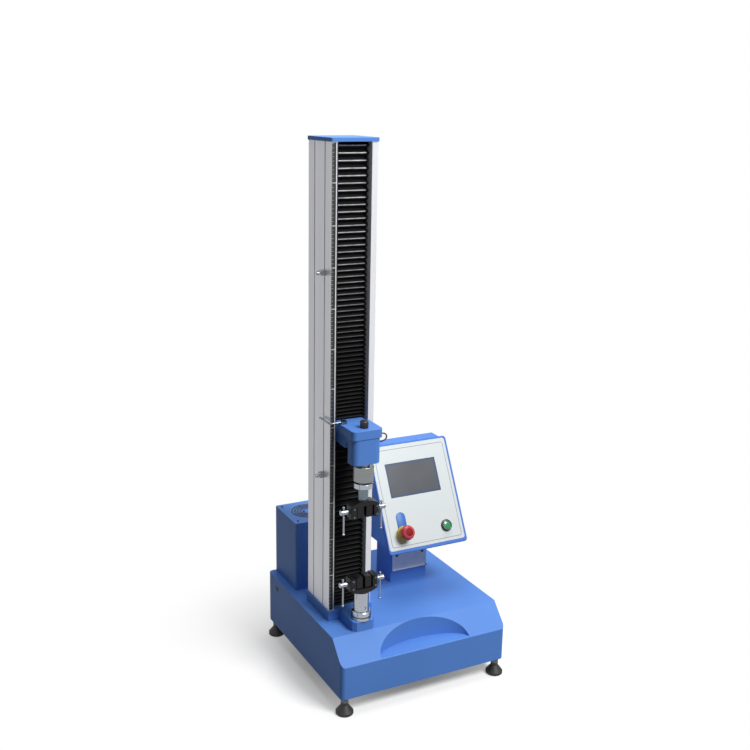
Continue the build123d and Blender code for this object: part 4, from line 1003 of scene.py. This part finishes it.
@dataclass
class Grip:
    """One screw grip: lock ring, adaptor, yoke, jaws, clamp screws and cross bars."""

    level: str
    body: str
    z: float
    sign: float
    shank: Finish
    half_depth: float = 16.0
    screw_x: float = 31.5
    screw_z: Span = (-11.0, 10.0)

    def build(self) -> None:
        """Dresses the nodes and adds the yoke's cap screws."""
        sides = ("left", "right")
        dress(RING_STEEL, f"{self.level}_lock_ring")
        dress(self.shank, f"{self.level}_adaptor")
        dress(BLACK_STEEL, f"{self.level}_grip_yoke", *(f"{self.level}_{s}_jaw" for s in sides))
        dress(CHROME, *(f"{self.level}_{s}_{part}" for part in ("clamp_screw", "tommy_bar") for s in sides))
        face = LOAD_AXIS_Y - self.half_depth
        places = [at(COLUMN_X + sx * self.screw_x, face, self.z + self.sign * dz, Turn.FRONT)
                  for sx in (-1, 1) for dz in self.screw_z]
        heads = copies(socket_screw(r=2.5, h=2.0, key=1.3), f"{self.level}_yoke_screws", places)
        fit(heads, self.body, GROUND_STEEL)


@dataclass
class ControlPanel:
    """Tilted panel with film, screen and buttons, on its casing and stand.

    Places on the panel are across from its middle and up from its lower edge; outlines are radius and lift.
    """

    film_low: Span = (-119.5, 10.0)
    film_high: Span = (115.5, 293.5)
    film_t: float = 0.4
    film_corner: float = 7.0
    film_lift: float = 0.02
    cutter_half: float = 1.5
    raised: float = 0.45
    screen: tuple[float, float, float, float] = (-6.0, 197.0, 157.0, 94.0)
    estop: Span = (-70.0, 52.0)
    estop_hole: float = 11.5
    start: Span = (65.0, 52.0)
    start_hole: float = 9.0
    label_at: Span = (1.0, 16.0)
    label_run: float = 28.0
    label: tuple[Span, ...] = ((14.0, 0.0), (14.0, 0.7), (13.4, 1.0))
    crown_lift: float = 36.75
    crown: tuple[Span, ...] = ((11.0, 0.0), (11.0, 0.3), (10.4, 0.55))
    bezel: tuple[Span, ...] = ((16.5, 0.0), (16.5, 2.4), (15.4, 3.8), (13.6, 4.2), (13.6, 0.0))
    ring: tuple[Span, ...] = ((13.5, 0.0), (13.5, 8.6), (13.0, 9.2), (12.3, 9.2), (11.8, 8.4), (11.8, 0.0))
    lens: tuple[Span, ...] = ((8.5, -22.0), (8.5, 4.5), (11.4, 4.5), (11.4, 7.4), (11.0, 8.0), (10.1, 8.2),
                              (9.8, 7.9), (8.4, 8.4), (6.0, 8.8), (3.0, 8.95), (0.4, 9.0))
    catch_low: Point = (-3.5, -3.0, -4.0)
    catch_high: Point = (3.5, 0.1, 4.0)
    catch_x: float = 41.0
    catch_y: float = 24.7
    catch_z: float = 277.0
    screw_u: float = 114.5
    screw_v: Span = (62.0, 232.0)
    screw_lift: float = -22.0

    def build(self) -> None:
        """Dresses the nodes and adds film, plate, crown, rings, lens, catches and screws."""
        dress(PANEL_BLUE, "panel_face")
        dress(BLUE_COAT, "panel_casing", "panel_stand")
        dress(SCREEN, "touch_screen")
        dress(YELLOW_COLLAR, "estop_base")
        dress(RED_CAP, "estop_button")
        dress(GREY_DOOR, "printer_door")
        self.add_film()
        self.add_label()
        crown = turned("stop_crown", self.crown, PANEL.matrix(*self.estop, self.crown_lift), sides=48)
        fit(crown, "emergency_stop", DARK_RED)
        self.add_start_button()
        self.add_catches()
        self.add_screws()

    def add_film(self) -> None:
        """White film with openings for the screen and both buttons."""
        sheet = cuboid("panel_film", (*self.film_low, 0.0), (*self.film_high, self.film_t))
        with editing(sheet, "DESELECT"):
            mesh = bmesh.from_edit_mesh(sheet.data)
            for edge in mesh.edges:
                if abs(edge.verts[0].co.z - edge.verts[1].co.z) > self.film_t * MM / 2:
                    edge.select_set(True)
            bmesh.update_edit_mesh(sheet.data)
            bpy.ops.mesh.bevel(offset=self.film_corner * MM, segments=8, affect="EDGES")
        u, v, w, h = self.screen
        low = (u - w / 2, v - h / 2, -self.cutter_half)
        cut(sheet, cuboid("hole", low, (u + w / 2, v + h / 2, self.cutter_half)))
        for (bu, bv), r in ((self.estop, self.estop_hole), (self.start, self.start_hole)):
            choose()
            bpy.ops.mesh.primitive_cylinder_add(vertices=48, radius=r * MM, depth=2 * self.cutter_half * MM,
                                                location=(bu * MM, bv * MM, 0))
            cut(sheet, bpy.context.object)
        settle(sheet, "panel_film", PANEL.matrix(lift=self.film_lift))
        fit(sheet, "frame", FILM)

    def add_label(self) -> None:
        """Plain blue plate above the emergency stop, left without words: a disc drawn out upwards."""
        plate = turned("stop_label_plate", self.label, Matrix(), sides=48)
        with editing(plate, "DESELECT"):
            mesh = bmesh.from_edit_mesh(plate.data)
            for vertex in mesh.verts:
                vertex.select = vertex.co.y > 0.1 * MM
            bmesh.update_edit_mesh(plate.data)
            bpy.ops.transform.translate(value=(0, self.label_run * MM, 0))
        u, v = (a + b for a, b in zip(self.estop, self.label_at))
        settle(plate, "stop_label_plate", PANEL.matrix(u, v, self.raised))
        fit(plate, "frame", BLUE_LABEL)

    def add_start_button(self) -> None:
        """Black bezel, bright ring and domed green lens, which stands for the CAD button."""
        place = PANEL.matrix(*self.start, self.raised)
        bezel = turned("start_bezel", self.bezel, place, sides=56, hollow=True)
        fit(bezel, "frame", BLACK_ABS)
        ring = turned("start_bright_ring", self.ring, place, sides=56, hollow=True)
        fit(ring, "frame", CHROME)
        piece = turned("start_lens", self.lens, PANEL.matrix(*self.start), sides=56)
        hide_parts("start_button")
        fit(piece, "start", GREEN_LENS)

    def add_catches(self) -> None:
        """Two small black catches in the top corners of the printer door."""
        made = cuboid("catch", self.catch_low, self.catch_high, bevel=0.8)
        places = [at(PANEL.x + s * self.catch_x, self.catch_y, self.catch_z) for s in (-1, 1)]
        fit(copies(made, "door_catches", places), "door", BLACK_ABS)

    def add_screws(self) -> None:
        """Screws through the casing's sides into the panel's folded edge."""
        places = []
        for side, turn in ((-1, Turn.LEFT), (1, Turn.RIGHT)):
            for v in self.screw_v:
                place = PANEL.matrix(side * self.screw_u, v, self.screw_lift).to_translation() / MM
                places.append(at(*place, turn))
        fit(copies(pan_screw(r=3.0, h=1.6), "casing_screws", places), "frame", GROUND_STEEL)


@dataclass(frozen=True)
class Lamp:
    """Soft square lamp: its place, aim and side in metres, its power in watts."""

    name: str
    place: Point
    aim: Point
    size: float
    power: float

    def build(self) -> None:
        """Adds the lamp to the scene."""
        data = bpy.data.lights.new(self.name, "AREA")
        data.shape = "SQUARE"
        data.size = self.size
        data.energy = self.power
        lamp = added(self.name, data)
        lamp.location = self.place
        lamp.rotation_euler = (Vector(self.aim) - Vector(self.place)).to_track_quat("-Z", "Y").to_euler()


@dataclass
class Studio:
    """Floor, lamps, world and camera: angles in degrees, lens in mm, lengths in metres."""

    eye: Point = (-1.268, -2.3113, 1.5133)
    yaw: float = 26.59
    pitch: float = 15.06
    roll: float = 0.69
    lens: float = 49.71
    shift: Span = (25 / 750, 2.8 / 750)
    floor_r: float = 14.0
    shadow_ends: float = 0.75
    glow: float = 1.0
    world_light: float = 0.08
    paper_seen: str = "#f8f8f8"
    paper_unseen: str = "#6c6c6c"
    lamps: tuple[Lamp, ...] = (
        Lamp("key", (1.05, -2.73, 3.62), (0.0, 0.0, 0.6), 1.5, 205.0),
        Lamp("overhead", (0.2, 0.3, 3.6), (0.0, 0.0, 0.4), 2.2, 62.0),
        Lamp("fill", (-2.8, -2.6, 2.2), (0.0, 0.0, 0.5), 2.4, 2.0))

    def build(self) -> None:
        """Sets up everything round the object."""
        self.floor()
        self.world()
        for lamp in self.lamps:
            lamp.build()
        self.camera()
        bpy.context.scene.view_settings.view_transform = "Standard"

    def camera(self) -> None:
        """Camera at the photograph's place and angle."""
        yaw, pitch, roll = (math.radians(v) for v in (self.yaw, self.pitch, self.roll))
        ahead = Vector((math.sin(yaw) * math.cos(pitch), math.cos(yaw) * math.cos(pitch), -math.sin(pitch)))
        side = Vector((math.cos(yaw), -math.sin(yaw), 0.0))
        above = side.cross(ahead)
        right = math.cos(roll) * side + math.sin(roll) * above
        up = math.cos(roll) * above - math.sin(roll) * side
        data = bpy.data.cameras.new("camera")
        data.lens = self.lens
        data.sensor_width = 36.0
        data.shift_x, data.shift_y = self.shift
        data.clip_end = 60.0
        camera = added("camera", data)
        turn = Matrix((right, up, -ahead)).transposed().to_4x4()
        camera.matrix_world = Matrix.Translation(Vector(self.eye)) @ turn
        bpy.context.scene.camera = camera

    def seen(self, nodes: Nodes) -> Socket:
        """Socket that is 1 for rays from the camera, in reflections and through glass, else 0."""
        path = add_node(nodes.tree, "LightPath").outputs
        seen = nodes.math("MAXIMUM", path["Is Camera Ray"], path["Is Glossy Ray"])
        return nodes.math("MAXIMUM", seen, path["Is Transmission Ray"])

    def world(self) -> None:
        """White to the camera and in reflections, and a gentler light on the object."""
        world = bpy.data.worlds.new("studio")
        bpy.context.scene.world = world
        tree = empty_tree(world)
        nodes = Nodes(tree)
        strength = nodes.ranged(self.seen(nodes), WHOLE, (self.world_light, self.glow))
        back = add_node(tree, "Background", {"Color": WHITE, "Strength": strength})
        add_node(tree, "OutputWorld", {"Surface": back.outputs[0]})

    def floor(self) -> None:
        """Pale round floor that turns to the world's white with distance."""
        choose()
        bpy.ops.mesh.primitive_circle_add(vertices=96, radius=self.floor_r, fill_type="NGON",
                                          location=(0, 0, 0))
        floor = settle(bpy.context.object, "studio_floor")
        made = bpy.data.materials.new("studio_floor_paper")
        tree = empty_tree(made)
        place = add_node(tree, "TexCoord").outputs["Object"]
        far = add_node(tree, "VectorMath", {0: place}, operation="LENGTH").outputs["Value"]
        fade = add_node(tree, "MapRange", {"Value": far, "From Min": 0.0, "From Max": self.shadow_ends},
                        interpolation_type="SMOOTHSTEP").outputs["Result"]
        nodes = Nodes(tree)
        seen = self.seen(nodes)
        part = nodes.math("MULTIPLY", fade, seen)
        tone = nodes.mix(seen, linear(self.paper_unseen), linear(self.paper_seen))
        paper = add_node(tree, "BsdfDiffuse", {"Color": tone})
        glow = add_node(tree, "Emission", {"Color": WHITE, "Strength": self.glow})
        mixed = add_node(tree, "MixShader", {0: part, 1: paper.outputs[0], 2: glow.outputs[0]})
        add_node(tree, "OutputMaterial", {"Surface": mixed.outputs[0]})
        floor.data.materials.append(made)


def main() -> None:
    """Builds the studio and the machine, one sub-assembly after another."""
    logging.basicConfig(level=logging.INFO, format="%(name)s: %(message)s")
    parts = [Studio(), Crosshead(), Base(), Column(),
             Bellows("upper_bellows_folds", "upper_bellows", low=736.5, high=1418.0, start=1412.0, end=742.5),
             Bellows("lower_bellows_folds", "lower_bellows", low=224.0, high=680.0, start=230.0, end=674.0),
             RearHousing(), Grip("upper", "crosshead", 522.5, 1.0, GROUND_STEEL),
             Grip("lower", "frame", 326.0, -1.0, RING_STEEL), ControlPanel()]
    for part in parts:
        part.build()


if __name__ == "__main__":
    main()
